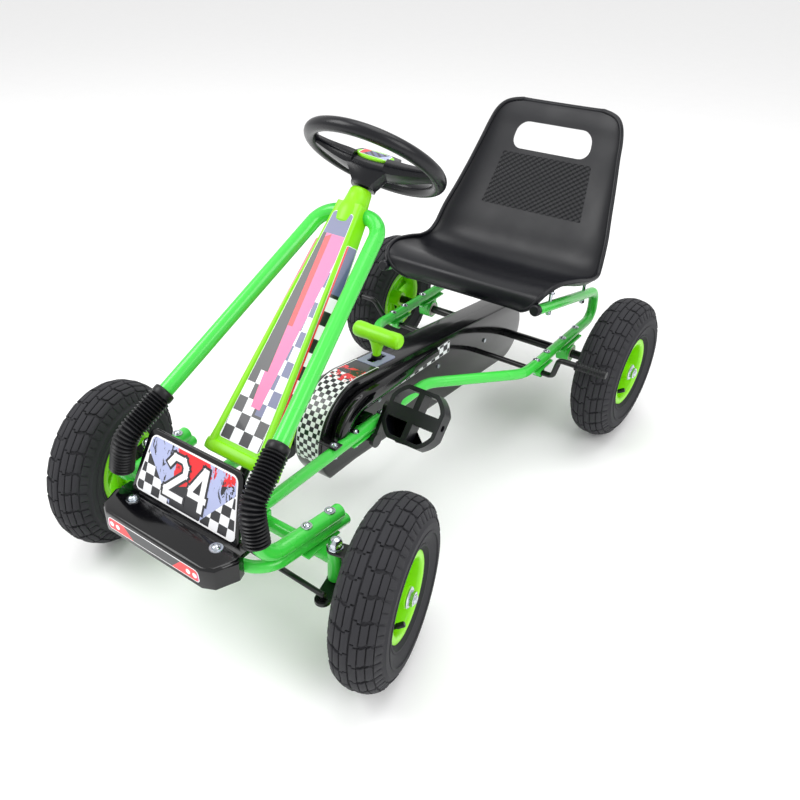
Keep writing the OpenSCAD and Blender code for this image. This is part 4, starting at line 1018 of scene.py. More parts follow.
@dataclass
class Boots:
    """The two bellows over the hoop's lower bends."""

    core: float = 13.6
    rib: float = 17.6
    ribs: int = 25
    above_knee: float = 85.0
    above_foot: float = 25.0

    def build(self) -> None:
        """Sweep the ribbed profile along both of the hoop's legs."""
        hoop = Frame()
        for side, word in SIDES:
            _, foot, knee, top = hoop.side_points(side)
            start = foot + (knee - foot).normalized() * self.above_foot * MM
            end = knee + (top - knee).normalized() * self.above_knee * MM
            coarse = rounded_route([start, knee, end], [0, 40 * MM, 0], 3)
            lengths = [0.0]
            for a, b in zip(coarse, coarse[1:]):
                lengths.append(lengths[-1] + (b - a).length)
            cuff = 13 * MM
            usable = lengths[-1] - cuff
            steps = self.ribs * 6
            spots = [usable * i / steps for i in range(steps + 1)]
            radii = [(self.core + (self.rib - self.core) * (0.5 - 0.5 * cos(math.tau * i / 6)) ** 0.7)
                     for i in range(steps + 1)]
            spots += [usable + cuff * t for t in (0.08, 0.2, 0.75, 0.9, 1.0)]
            radii += [14.6, 15.6, 15.6, 15.0, 12.4]
            frames = along([self.point_at(coarse, lengths, s) for s in spots])
            bm = bmesh.new()
            sweep(bm, [Station(f, r * MM, r * MM) for f, r in zip(frames, radii)], 40)
            Piece(f"bellows_{word}", "frame", "black_rubber", [BELLOWS_PVC], [f"boot_{word}"],
                  smooth_deg=60).make(bm)

    def point_at(self, route: Sequence[Vector], lengths: Sequence[float], s: float) -> Vector:
        """Find the point at a distance along a route.

        Args:
            route: The points in turn.
            lengths: Length of the route at each point.
            s: Length along it.

        Returns:
            The point.
        """
        for i in range(len(route) - 1):
            if s <= lengths[i + 1] or i == len(route) - 2:
                share = (s - lengths[i]) / (lengths[i + 1] - lengths[i])
                return route[i].lerp(route[i + 1], share)
        return route[-1]


# ---- printed films


class Print(Enum):
    """The printed films on the kart, each with its own drawing."""

    BUMPER = "bumper_print"
    STRIP = "strip_print"
    FAIRING = "fairing_print"
    FLANK = "flank_print"
    CASE_TOP = "case_top_print"
    CASE_SIDE = "case_side_print"
    BADGE = "badge_print"


WHITE, INK, RED, PINK = linear("#F4F5F8"), linear("#14151C"), linear("#E3151E"), linear("#FF5C98")
LAVENDER, SLATE, DEEP_RED = linear("#AEB6DC"), linear("#555C86"), linear("#8E0E1C")
STEEL_GREY = linear("#9DA2B4")


@dataclass
class Film:
    """Screen printed vinyl film. Its drawing reads the piece's UV map, which is in millimetres."""

    drawing: Print
    tree: NodeTree = field(init=False)
    u: NodeSocket = field(init=False)
    v: NodeSocket = field(init=False)

    @property
    def name(self) -> str:
        """Name of the material."""
        return self.drawing.value

    def build(self) -> Material:
        """Make the film's material once: the drawing under a glossy clear layer.

        Returns:
            The Blender material.
        """
        known = bpy.data.materials.get(self.name)
        if known:
            return known
        material = bpy.data.materials.new(self.name)
        material.use_nodes = True
        self.tree = material.node_tree
        shader = self.tree.nodes["Principled BSDF"]
        shader.inputs["Roughness"].default_value = 0.28
        shader.inputs["Coat Weight"].default_value = 0.3
        split = add_node(self.tree, "ShaderNodeSeparateXYZ", {},
                         {"Vector": add_node(self.tree, "ShaderNodeUVMap").outputs["UV"]})
        self.u, self.v = split.outputs["X"], split.outputs["Y"]
        drawings = {Print.BUMPER: self.bumper, Print.STRIP: self.strip, Print.FAIRING: self.fairing,
                    Print.FLANK: self.flank, Print.CASE_TOP: self.case_top, Print.CASE_SIDE: self.case_side,
                    Print.BADGE: self.badge}
        self.tree.links.new(drawings[self.drawing](), shader.inputs["Base Color"])
        return material

    def math(self, operation: str, first: NodeSocket | float,
             second: NodeSocket | float = 0.0) -> NodeSocket:
        """Add one Math node.

        Args:
            operation: The node's operation.
            first: A socket or a number.
            second: A socket or a number.

        Returns:
            The result's socket.
        """
        inputs = {0: first, 1: second}
        numbers = {k: v for k, v in inputs.items() if isinstance(v, (int, float))}
        sockets = {k: v for k, v in inputs.items() if not isinstance(v, (int, float))}
        return add_node(self.tree, "ShaderNodeMath", {"operation": operation, **numbers}, sockets).outputs[0]

    def over(self, below: NodeSocket | tuple, above: NodeSocket | tuple, mask: NodeSocket) -> NodeSocket:
        """Lay one colour over another where a mask is 1.

        Args:
            below: The lower colour.
            above: The upper colour.
            mask: Where the upper one shows.

        Returns:
            The result's socket.
        """
        settings, links = {"data_type": "RGBA"}, {0: mask}
        for slot, colour in ((6, below), (7, above)):
            if isinstance(colour, tuple):
                settings[slot] = colour
            else:
                links[slot] = colour
        return add_node(self.tree, "ShaderNodeMix", settings, links).outputs[2]

    def checker(self, cell_u: float, cell_v: float, first: tuple, second: tuple) -> NodeSocket:
        """Draw a chequered field with cells of a size in millimetres.

        Args:
            cell_u: Width of a cell.
            cell_v: Height of a cell.
            first: Colour of the even cells.
            second: Colour of the odd cells.

        Returns:
            The colour's socket.
        """
        odd = self.math("ADD", self.math("FLOOR", self.math("DIVIDE", self.u, cell_u)),
                        self.math("FLOOR", self.math("DIVIDE", self.v, cell_v)))
        mask = self.math("GREATER_THAN", self.math("PINGPONG", odd, 1.0), 0.5)
        return self.over(first, second, mask)

    def beyond(self, across: float, up: float, limit: float) -> NodeSocket:
        """Mask the side where across times u plus up times v is past a limit."""
        reach = self.math("ADD", self.math("MULTIPLY", self.u, across), self.math("MULTIPLY", self.v, up))
        return self.math("GREATER_THAN", reach, limit)

    def both(self, *masks: NodeSocket) -> NodeSocket:
        """Mask where every given mask is 1.

        Args:
            masks: The masks.

        Returns:
            The joint mask.
        """
        result = masks[0]
        for mask in masks[1:]:
            result = self.math("MULTIPLY", result, mask)
        return result

    def splashes(self, size_mm: float, stretch: float, threshold: float, seed: float) -> NodeSocket:
        """Mask ragged streaks of paint.

        Args:
            size_mm: Size of a streak.
            stretch: How much longer than wide it is.
            threshold: Share of the noise that stays bare.
            seed: Moves the pattern.

        Returns:
            The mask.
        """
        moved = add_node(self.tree, "ShaderNodeCombineXYZ", {2: seed},
                         {0: self.math("MULTIPLY", self.u, stretch), 1: self.v})
        noise = add_node(self.tree, "ShaderNodeTexNoise",
                         {"=Scale": 1 / size_mm, "=Detail": 4.0, "=Roughness": 0.7, "=Distortion": 1.2},
                         {"Vector": moved.outputs[0]})
        return self.math("GREATER_THAN", noise.outputs["Fac"], threshold)

    def bumper(self) -> NodeSocket:
        """Draw the number panel: red field, splashes, chequered lower corners.

        Returns:
            The colour's socket.
        """
        colour = self.over(RED, DEEP_RED, self.splashes(26, 1.6, 0.6, 3.0))
        colour = self.over(colour, INK, self.beyond(0.42, -1, 3))
        left = self.both(self.beyond(-1, 0, 27), self.splashes(34, 2.6, 0.44, 1.0))
        right = self.both(self.beyond(1, 0, 30), self.splashes(30, 2.2, 0.46, 7.0))
        colour = self.over(colour, INK, self.beyond(-1, 0.1, 34))
        colour = self.over(colour, INK, self.both(self.beyond(1, 0.1, 42), self.splashes(22, 1.5, 0.5, 5.0)))
        colour = self.over(self.over(colour, LAVENDER, left), LAVENDER, right)
        squares = self.checker(15.5, 13.5, WHITE, INK)
        colour = self.over(colour, squares, self.beyond(-1, -0.9, 62))
        return self.over(colour, squares, self.beyond(1, -0.9, 64))

    def strip(self) -> NodeSocket:
        """Draw the lamp strip: dark, with red ends and two white spots in each.

        Returns:
            The colour's socket.
        """
        u = self.math("ABSOLUTE", self.u)
        ends = self.math("GREATER_THAN", self.math("SUBTRACT", u, self.v), 44)
        colour = self.over(INK, RED, ends)
        colour = self.over(colour, PINK, self.math("GREATER_THAN", u, 82))
        for centre in (66.0, 77.5):
            du, dv = self.math("SUBTRACT", u, centre), self.v
            square = self.math("ADD", self.math("MULTIPLY", du, du), self.math("MULTIPLY", dv, dv))
            colour = self.over(colour, WHITE, self.math("LESS_THAN", square, 15.0))
        return colour

    def fairing(self) -> NodeSocket:
        """Draw the fairing's front: chequered below, a pink and red spear, slate at the top.

        Returns:
            The colour's socket.
        """
        colour = self.checker(17, 22, WHITE, INK)
        cool = self.over(LAVENDER, SLATE, self.splashes(60, 1.5, 0.52, 2.0))
        colour = self.over(colour, cool, self.both(self.beyond(0, 1, 238), self.beyond(-1, 0, -14)))
        soft = self.checker(17, 22, WHITE, SLATE)
        colour = self.over(colour, soft, self.both(self.beyond(1, 0, 4), self.beyond(0, 1, 70)))
        spear = self.both(self.beyond(-1, 0.055, -4), self.beyond(1, 0.07, -2.0), self.beyond(0, 1, 78),
                          self.beyond(0.6, -1, -345))
        colour = self.over(colour, PINK, spear)
        edge = self.both(self.beyond(-1, -0.03, -6.5), self.beyond(1, 0.05, 2), self.beyond(0, 1, 200),
                         self.beyond(0.6, -1, -340))
        colour = self.over(colour, RED, edge)
        colour = self.over(colour, INK, self.both(self.beyond(-1, -0.035, 0.8), self.beyond(0, 1, 130)))
        return self.over(colour, SLATE, self.beyond(0, 1, 338))

    def flank(self) -> NodeSocket:
        """Draw the fairing's flanks: chequered with a red hem.

        Returns:
            The colour's socket.
        """
        colour = self.checker(24, 20, WHITE, INK)
        colour = self.over(colour, SLATE, self.beyond(0, 1, 225))
        return self.over(colour, RED, self.beyond(-1, 0, -3.2))

    def case_top(self) -> NodeSocket:
        """Draw the film over the case's nose: fine chequers, a red mark and a dark field.

        Returns:
            The colour's socket.
        """
        colour = self.checker(7.8, 7.8, WHITE, INK)
        colour = self.over(colour, INK, self.beyond(0, 1, 172))
        colour = self.over(colour, RED, self.both(self.beyond(0, 1, 150), self.beyond(0, -1, -196),
                                                  self.splashes(20, 1.4, 0.52, 4.0)))
        rim_u = self.math("GREATER_THAN", self.math("ABSOLUTE", self.u), 20.4)
        line = self.both(rim_u, self.math("LESS_THAN", self.math("ABSOLUTE", self.u), 21.6))
        colour = self.over(colour, INK, rim_u)
        for low, high in ((2.0, 3.4), (224.6, 226.0)):
            line = self.math("MAXIMUM", line, self.both(self.beyond(0, 1, low), self.beyond(0, -1, -high)))
        return self.over(colour, WHITE, line)

    def case_side(self) -> NodeSocket:
        """Draw the case's side band: two rows of squares and three slanted bars.

        Returns:
            The colour's socket.
        """
        squares = self.checker(13.0, 11.0, WHITE, INK)
        colour = self.over(INK, squares, self.math("GREATER_THAN", self.math("ABSOLUTE", self.u), 24))
        slant = self.math("PINGPONG", self.math("ADD", self.u, self.math("MULTIPLY", self.v, -0.5)), 7.0)
        bars = self.both(self.math("GREATER_THAN", slant, 4.2), self.beyond(1, 0, 18),
                         self.beyond(-1, 0, -66),
                         self.beyond(0, 1, 4), self.beyond(0, -1, -15))
        return self.over(colour, STEEL_GREY, bars)

    def badge(self) -> NodeSocket:
        """Draw the steering wheel's badge: slanted stripes with a red corner inside a white edge.

        Returns:
            The colour's socket.
        """
        slant = self.math("PINGPONG", self.math("ADD", self.u, self.math("MULTIPLY", self.v, 0.8)), 5.5)
        colour = self.over(SLATE, INK, self.math("GREATER_THAN", slant, 3.2))
        colour = self.over(colour, RED, self.beyond(1, -0.3, 13))
        return self.over(colour, LAVENDER, self.beyond(-1, 0.5, 13))


def flat_uv(bm: BMesh) -> None:
    """Write a UV map in millimetres from each point's X and Y.

    Args:
        bm: The mesh, still in its own flat frame.
    """
    layer = bm.loops.layers.uv.verify()
    for face in bm.faces:
        for loop in face.loops:
            loop[layer].uv = (loop.vert.co.x / MM, loop.vert.co.y / MM)


def rounded_plate(bm: BMesh, corners: Sequence[tuple[float, float]], radius: float, low: float,
                  high: float, edge: float = 0.0) -> list:
    """Add a flat plate with rounded corners, from its outline in a frame's XY plane.

    Args:
        bm: The mesh that gets it.
        corners: The outline's corners, anticlockwise.
        radius: Radius of each corner.
        low: Height of its lower face.
        high: Height of its upper face.
        edge: Radius of the upper edge.

    Returns:
        The new points.
    """
    before = set(bm.verts)
    face = bm.faces.new([bm.verts.new((x, y, low)) for x, y in corners])
    if radius:
        bmesh.ops.bevel(bm, geom=list(face.verts), offset=radius, segments=6, affect="VERTICES",
                        profile=0.5, material=-1)
    made = [v for v in bm.verts if v not in before]
    base = [f for f in bm.faces if all(v in made for v in f.verts)]
    raised = bmesh.ops.extrude_face_region(bm, geom=base)["geom"]
    top = [v for v in raised if isinstance(v, BMVert)]
    bmesh.ops.translate(bm, vec=(0, 0, high - low), verts=top)
    if edge:
        rim = list({e for v in top for e in v.link_edges if all(p in top for p in e.verts)})
        bmesh.ops.bevel(bm, geom=rim, offset=edge, segments=3, affect="EDGES", profile=0.5, material=-1)
    made = [v for v in bm.verts if v not in before]
    bmesh.ops.recalc_face_normals(bm, faces=list({f for v in made for f in v.link_faces}))
    return made


def stroke(bm: BMesh, points: Sequence[tuple[float, float]], width: float, low: float,
           high: float) -> None:
    """Draw one thick line of a figure as a plate, from overlapping bars.

    Args:
        bm: The mesh that gets it.
        points: The line's corners.
        width: Its width.
        low: Height of its lower face.
        high: Height of its upper face.
    """
    for step, ((x0, y0), (x1, y1)) in enumerate(zip(points, points[1:])):
        ahead = Vector((x1 - x0, y1 - y0, 0))
        reach = ahead.length + width * 0.5
        turn = spin(math.atan2(ahead.y, ahead.x), 4, "Z")
        middle = move(((x0 + x1) / 2, (y0 + y1) / 2, 0))
        lift = 0.03 * MM * step
        box(bm, (-reach / 2 - width * 0.2, -width / 2, low),
            (reach / 2 + width * 0.2, width / 2, high + lift), middle @ turn)


# The two plain figures of the number panel, as lines on a grid 1 wide and 2 high.
FIGURE_TWO = [(0, 1.6), (0.25, 2), (0.8, 2), (1, 1.7), (1, 1.3), (0, 0.2), (0, 0), (1, 0)]
FIGURE_FOUR = [(0.85, 0.55), (0, 0.55), (0, 0.8), (0.65, 2), (0.72, 2), (0.72, 0)]


# ---- moulded parts


def film_piece(name: str, body: str, slot: str, drawing: Print, place: Matrix,
               corners: Sequence[tuple[float, float]], radius: float, border: float, lift: float,
               replaces: Sequence[str] = ()) -> None:
    """Lay a printed film with a white edge on a flat place.

    Args:
        name: Name of the piece.
        body: The body that it's on.
        slot: Its material slot.
        drawing: What is printed on it.
        place: The flat frame, with +Z out of the surface, and the print's own millimetres in X and Y.
        corners: The film's outline, anticlockwise.
        radius: Radius of its corners.
        border: Width of the white edge.
        lift: Height of the film's upper side.
        replaces: CAD nodes that it stands for.
    """
    middle = Vector((sum(x for x, _ in corners), sum(y for _, y in corners))) / len(corners)
    bm = bmesh.new()
    rounded_plate(bm, corners, radius, lift - 0.8 * MM, lift - 0.12 * MM)
    count = len(bm.faces)
    low = Vector((min(x for x, _ in corners), min(y for _, y in corners)))
    high = Vector((max(x for x, _ in corners), max(y for _, y in corners)))
    scale = Vector((1 - 2 * border / (high.x - low.x), 1 - 2 * border / (high.y - low.y)))
    inner = [(middle.x + (x - middle.x) * scale.x, middle.y + (y - middle.y) * scale.y) for x, y in corners]
    rounded_plate(bm, inner, max(radius - border, 0.0), lift - 0.5 * MM, lift)
    new_faces(bm, count, 1)
    flat_uv(bm)
    bmesh.ops.transform(bm, matrix=place, verts=bm.verts)
    Piece(name, body, slot, (WHITE_FILM, Film(drawing)), replaces).make(bm)


def carved(bm: BMesh, tool: BMesh) -> BMesh:
    """Cut one closed mesh out of another.

    Args:
        bm: The mesh that loses the material. It is freed.
        tool: The shape to cut away. It is freed.

    Returns:
        The result as a new mesh.
    """
    objects = []
    for name, part in (("carved", bm), ("tool", tool)):
        mesh = bpy.data.meshes.new(name)
        part.to_mesh(mesh)
        part.free()
        objects.append(bpy.data.objects.new(name, mesh))
        bpy.context.scene.collection.objects.link(objects[-1])
    cut = objects[0].modifiers.new("cut", "BOOLEAN")
    cut.operation, cut.solver, cut.object = "DIFFERENCE", "EXACT", objects[1]
    bpy.context.view_layer.update()
    result = bmesh.new()
    result.from_object(objects[0], bpy.context.evaluated_depsgraph_get())
    for obj in objects:
        mesh = obj.data
        bpy.data.objects.remove(obj)
        bpy.data.meshes.remove(mesh)
    return result


def refined(name: str, finish: Finish, edge_mm: float = 0.4) -> None:
    """Redraw a small machined or stamped CAD part with clean faces and broken edges.

    Args:
        name: The CAD node.
        finish: Its surface.
        edge_mm: Width of the broken edges.
    """
    source = frame["nodes"][name]
    bm = bmesh.new()
    bm.from_mesh(source.data)
    bmesh.ops.remove_doubles(bm, verts=bm.verts, dist=2e-6)
    bmesh.ops.dissolve_limit(bm, angle_limit=radians(1.0), verts=bm.verts, edges=bm.edges)
    Piece(f"{name}_detail", source["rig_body"], SLOTS[finish], (finish,), (name,), 30.0, edge_mm).make(bm)


@dataclass
class SteeringWheel:
    """The steering wheel: a slim ring, two broad spokes, a boxy hub and its lime insert."""

    ring: float = 96 * MM
    grip: float = 10 * MM

    def place(self) -> Matrix:
        """Give the wheel's frame: +Z up the column and +Y towards the top of the wheel."""
        turn = spin(-COLUMN_TILT, 4, "X") @ spin(math.pi + REST_STEER, 4, "Z")
        return move(at(*COLUMN_TOP)) @ turn

    def lean(self, height: float) -> Matrix:
        """Give the hub's frame at a height in millimetres: its top leans forward, its foot doesn't."""
        share = min(1.0, max(0.0, 1 + (height + 2) / 38))
        return move((0, 0, height * MM)) @ spin(radians(-36 * share), 4, "X")

    def build(self) -> None:
        """Build the wheel, the insert and the badge."""
        place = self.place()
        bm = bmesh.new()
        circle = [(self.ring + self.grip * cos(radians(a)), self.grip * sin(radians(a)))
                  for a in range(0, 360, 18)]
        drum(bm, place, circle, 96, closed=True)
        levels = [(3.0, 33, 23), (2.2, 35.4, 25.2), (0.5, 36, 26), (-6, 36, 26), (-14, 33, 24),
                  (-26, 26, 21), (-36, 20, 18.5), (-39, 17.6, 17.4), (-44, 17, 17)]
        hub = [Station(place @ self.lean(z), x * MM, y * MM) for z, x, y in levels]
        sweep(bm, hub, 48, squareness=0.55)
        across = spin(math.pi / 2, 4, "Y")
        for turned in (0.0, math.pi):
            arm = [Station(place @ spin(turned, 4, "Z") @ move((x * MM, 0, z * MM))
                           @ across, t * MM, w * MM)
                   for x, z, t, w in ((24, -11, 12, 22), (36, -10, 12, 21), (52, -7.5, 10.5, 18),
                                      (70, -4, 8.5, 15.5), (84, -1, 7, 15), (93, 0, 6, 16))]
            sweep(bm, arm, 32, squareness=0.5)
        Piece("steering_wheel_moulding", "steering", "black_plastic", (WHEEL_PLASTIC,), ("steering_wheel",),
              40.0).make(bm)
        bm = bmesh.new()
        dome = [Station(place @ self.lean(0) @ move((0, 0, z * MM)), x * MM, y * MM)
                for z, x, y in ((0.5, 27, 17), (3.8, 27, 17), (5.0, 27.5, 16.5), (5.6, 26, 15),
                                (5.8, 22, 12))]
        sweep(bm, dome, 64, squareness=0.12)
        Piece("hub_insert_dome", "steering", "lime_plastic", (LIME_PLASTIC,), ("hub_insert",), 50.0).make(bm)
        film_piece("hub_badge", "steering", "sticker_film", Print.BADGE, place @ self.lean(0),
                   mm((-22, -11), (22, -11), (22, 11), (-22, 11)),
                   4 * MM, 1.1 * MM, 6.2 * MM)


@dataclass
class Seat:
    """The bucket seat: one moulded shell with a rolled edge and a handle hole in the back."""

    wall: float = 4.0
    half_width: float = 180.0
    between: int = 5
    across: int = 48
    # Distance behind the rear axle, height, share of the width, and how far the sides rise.
    stations: tuple = ((-146, 132, .66, 2), (-158, 150, .78, 4), (-152, 170, .88, 8), (-117, 172, .93, 13),
                       (-62, 154, .97, 20), (-7, 135, 1, 24), (33, 133, 1, 26), (61, 153, .98, 26),
                       (82, 190, .95, 24), (105, 232, .89, 20), (128, 278, .83, 16), (149, 325, .77, 13),
                       (160, 352, .74, 10), (168, 374, .70, 7.5), (174, 388, .64, 5), (178, 395, .56, 3.5),
                       (181, 399, .45, 2.5))

    def rows(self) -> list[Vector]:
        """Run a smooth curve through the stations.

        Returns:
            Place, height, width share and side lift of each row.
        """
        known = [Vector(s) for s in self.stations]
        rows = []
        for i in range(len(known) - 1):
            a, b = known[max(i - 1, 0)], known[i]
            c, d = known[i + 1], known[min(i + 2, len(known) - 1)]
            for k in range(self.between):
                t = k / self.between
                rows.append(0.5 * (2 * b + (c - a) * t + (2 * a - 5 * b + 4 * c - d) * t ** 2
                                   + (3 * b - a - 3 * c + d) * t ** 3))
        return rows + [known[-1]]

    def point(self, rows: Sequence[Vector], i: int, u: float, depth: float) -> Vector:
        """Find a point of the shell.

        Args:
            rows: The smoothed rows.
            i: The row.
            u: Place across, from -1 to 1.
            depth: Depth below the sitting side, in millimetres.

        Returns:
            The point in metres.
        """
        before, after = rows[max(i - 1, 0)], rows[min(i + 1, len(rows) - 1)]
        ahead = Vector((after[0] - before[0], after[1] - before[1])).normalized()
        lift = rows[i][3] * abs(u) ** 3 - depth
        x = self.half_width * rows[i][2] * sin(u * math.pi / 2) / (1 + 0.06 * (1 - abs(u)))
        return at(x, WHEELBASE + rows[i][0] - ahead.y * lift, rows[i][1] + ahead.x * lift)

    def shell(self, rows: Sequence[Vector]) -> BMesh:
        """Build the closed shell, with the diamond pattern's faces marked.

        Args:
            rows: The smoothed rows.

        Returns:
            The shell.
        """
        bm = bmesh.new()
        us = [2 * j / self.across - 1 for j in range(self.across + 1)]
        sides = []
        for depth in (0.0, self.wall):
            sides.append([[bm.verts.new(self.point(rows, i, u, depth)) for u in us]
                          for i in range(len(rows))])
        top, under = sides
        for i in range(len(rows) - 1):
            for j in range(self.across):
                face = bm.faces.new((top[i][j], top[i][j + 1], top[i + 1][j + 1], top[i + 1][j]))
                if 0.345 < face.calc_center_median().z < 0.44 and abs(us[j] + us[j + 1]) < 0.9 and i > 35:
                    face.material_index = 1
                bm.faces.new((under[i][j], under[i + 1][j], under[i + 1][j + 1], under[i][j + 1]))
        for i in range(len(rows) - 1):
            bm.faces.new((top[i][0], top[i + 1][0], under[i + 1][0], under[i][0]))
            bm.faces.new((top[i][-1], under[i][-1], under[i + 1][-1], top[i + 1][-1]))
        for j in range(self.across):
            bm.faces.new((top[0][j], under[0][j], under[0][j + 1], top[0][j + 1]))
            bm.faces.new((top[-1][j], top[-1][j + 1], under[-1][j + 1], under[-1][j]))
        bmesh.ops.recalc_face_normals(bm, faces=bm.faces)
        return bm

    def rim(self, bm: BMesh, rows: Sequence[Vector]) -> None:
        """Roll the shell's edge over all round.

        Args:
            bm: The mesh that gets it.
            rows: The smoothed rows.
        """
        us = [2 * j / self.across - 1 for j in range(self.across + 1)]
        middle = self.wall / 2 + 0.5
        last = len(rows) - 1
        route = [self.point(rows, i, 1, middle) for i in range(1, last)]
        route += [self.point(rows, last, u, middle) for u in reversed(us[1:-1])]
        route += [self.point(rows, i, -1, middle) for i in range(last - 1, 0, -1)]
        route += [self.point(rows, 0, u, middle) for u in us[1:-1]]
        route.append(route[0])
        sweep(bm, [Station(f, 4.2 * MM, 4.2 * MM) for f in along(route)], 14)

    def build(self) -> None:
        """Build the shell with its handle hole, and the edge round both."""
        rows = self.rows()
        bm = self.shell(rows)
        tool = bmesh.new()
        hole = aimed(at(0, WHEELBASE + 154, 338), Vector((0, -0.92, 0.38)))
        outline = [(-82, -24), (82, -24), (76, 28), (-76, 28)]
        rounded_plate(tool, mm(*outline), 22 * MM, -40 * MM, 40 * MM)
        bmesh.ops.transform(tool, matrix=hole, verts=tool.verts)
        bm = carved(bm, tool)
        self.rim(bm, rows)
        Piece("seat_shell", "frame", "black_plastic", (BLACK_PLASTIC, DIAMOND_PLASTIC), ("seat",),
              40.0).make(bm)


@dataclass
class BumperCover:
    """The front bumper's cover: number panel, ledge and nose, with their films and bolts."""

    panel_low: tuple[float, float] = (-97.0, 66.0)
    panel_high: tuple[float, float] = (-60.0, 157.0)
    low_half: float = 100.0
    high_half: float = 84.0
    panel_middle: float = 49.0

    def place(self) -> Matrix:
        """Give the panel's frame: +Z forward out of it and +Y up along it.

        Returns:
            The panel's frame.
        """
        up = Vector((0, self.panel_high[0] - self.panel_low[0], self.panel_high[1] - self.panel_low[1]))
        up.normalize()
        out = X_AXIS.cross(up)
        return move(at(0, *self.panel_low)) @ Matrix((X_AXIS, up, out)).transposed().to_4x4()

    def outline(self, inset: float) -> list[tuple[float, float]]:
        """Give the panel's outline, smaller by an inset in millimetres.

        Args:
            inset: How far inside, in millimetres.

        Returns:
            The corners in turn.
        """
        length = math.dist(self.panel_low, self.panel_high)
        low, high = self.low_half - inset, self.high_half - inset
        return [(-low * MM, inset * MM), (low * MM, inset * MM), (high * MM, (length - inset) * MM),
                (-high * MM, (length - inset) * MM)]

    def build(self) -> None:
        """Build the cover and what is on it."""
        place = self.place()
        bm = bmesh.new()
        made = rounded_plate(bm, self.outline(0), 12 * MM, -4 * MM, 0.4 * MM, 1.2 * MM)
        bmesh.ops.transform(bm, matrix=place, verts=made)
        box(bm, at(-112, -104, 63), at(112, -86, 70), bevel=1.4 * MM)
        self.nose(bm)
        Piece("bumper_moulding", "frame", "black_plastic", (GLOSS_PLASTIC,), ("bumper_cover",),
              38.0).make(bm)
        film_piece("number_panel", "frame", "sticker_film", Print.BUMPER, self.shifted(place),
                   [(x, y - self.panel_middle * MM) for x, y in self.outline(7)], 9 * MM, 2.4 * MM, 1.0 * MM,
                   ("bumper_sticker",))
        nose = move(at(0, -150, 53)) @ spin(math.pi / 2, 4, "X")
        film_piece("lamp_strip", "frame", "sticker_film", Print.STRIP, nose,
                   mm((-86, -9), (86, -9), (84, 10), (-84, 10)),
                   6 * MM, 1.2 * MM, 0.5 * MM)
        bm = bmesh.new()
        for x in (-78, 78):
            domed_bolt(bm, move(at(x, -112, 70)), 3.6 * MM)
        Piece("bumper_bolt_heads", "frame", "zinc_steel", (ZINC_PLATE,), ("bumper_bolts",)).make(bm)
        self.figures(self.shifted(place))

    def shifted(self, place: Matrix) -> Matrix:
        """Move the panel's frame to the middle of the panel."""
        return place @ move((0, self.panel_middle * MM, 0))

    def nose(self, bm: BMesh) -> None:
        """Add the hollow nose, open at the back and below.

        Args:
            bm: The cover's mesh.
        """
        part = bmesh.new()
        plan = [(-88, -150), (88, -150), (104, -142), (116, -112), (112, -100), (-112, -100), (-116, -112),
                (-104, -142)]
        rounded_plate(part, [((x * MM), (y - MID_Y) * MM) for x, y in plan], 0, at(0, 0, 38).z,
                      at(0, 0, 70).z, 5 * MM)
        outer = [f for f in part.faces if abs(f.normal.z + 1) < 0.01 or abs(f.normal.y - 1) < 0.01]
        bmesh.ops.delete(part, geom=outer, context="FACES")
        bmesh.ops.solidify(part, geom=part.faces[:], thickness=3 * MM)
        bmesh.ops.recalc_face_normals(part, faces=part.faces)
        mesh = bpy.data.meshes.new("nose")
        part.to_mesh(mesh)
        part.free()
        bm.from_mesh(mesh)
        bpy.data.meshes.remove(mesh)

    def figures(self, place: Matrix) -> None:
        """Stand the plain number on the panel: dark outline below, white on top.

        Args:
            place: The frame in the panel's middle.
        """
        bm = bmesh.new()
        for width, low, high, index in ((15.0, 0.3, 1.3, 1), (8.5, 0.6, 1.6, 0)):
            count = len(bm.faces)
            for left, line in ((-37, FIGURE_TWO), (6, FIGURE_FOUR)):
                points = [((left + 29 * x) * MM, (-25 + 26 * y) * MM) for x, y in line]
                stroke(bm, points, width * MM, low * MM, high * MM)
            new_faces(bm, count, index)
        bmesh.ops.transform(bm, matrix=place, verts=bm.verts)
        Piece("panel_number", "frame", "sticker_film", (WHITE_FILM, DARK_FILM)).make(bm)


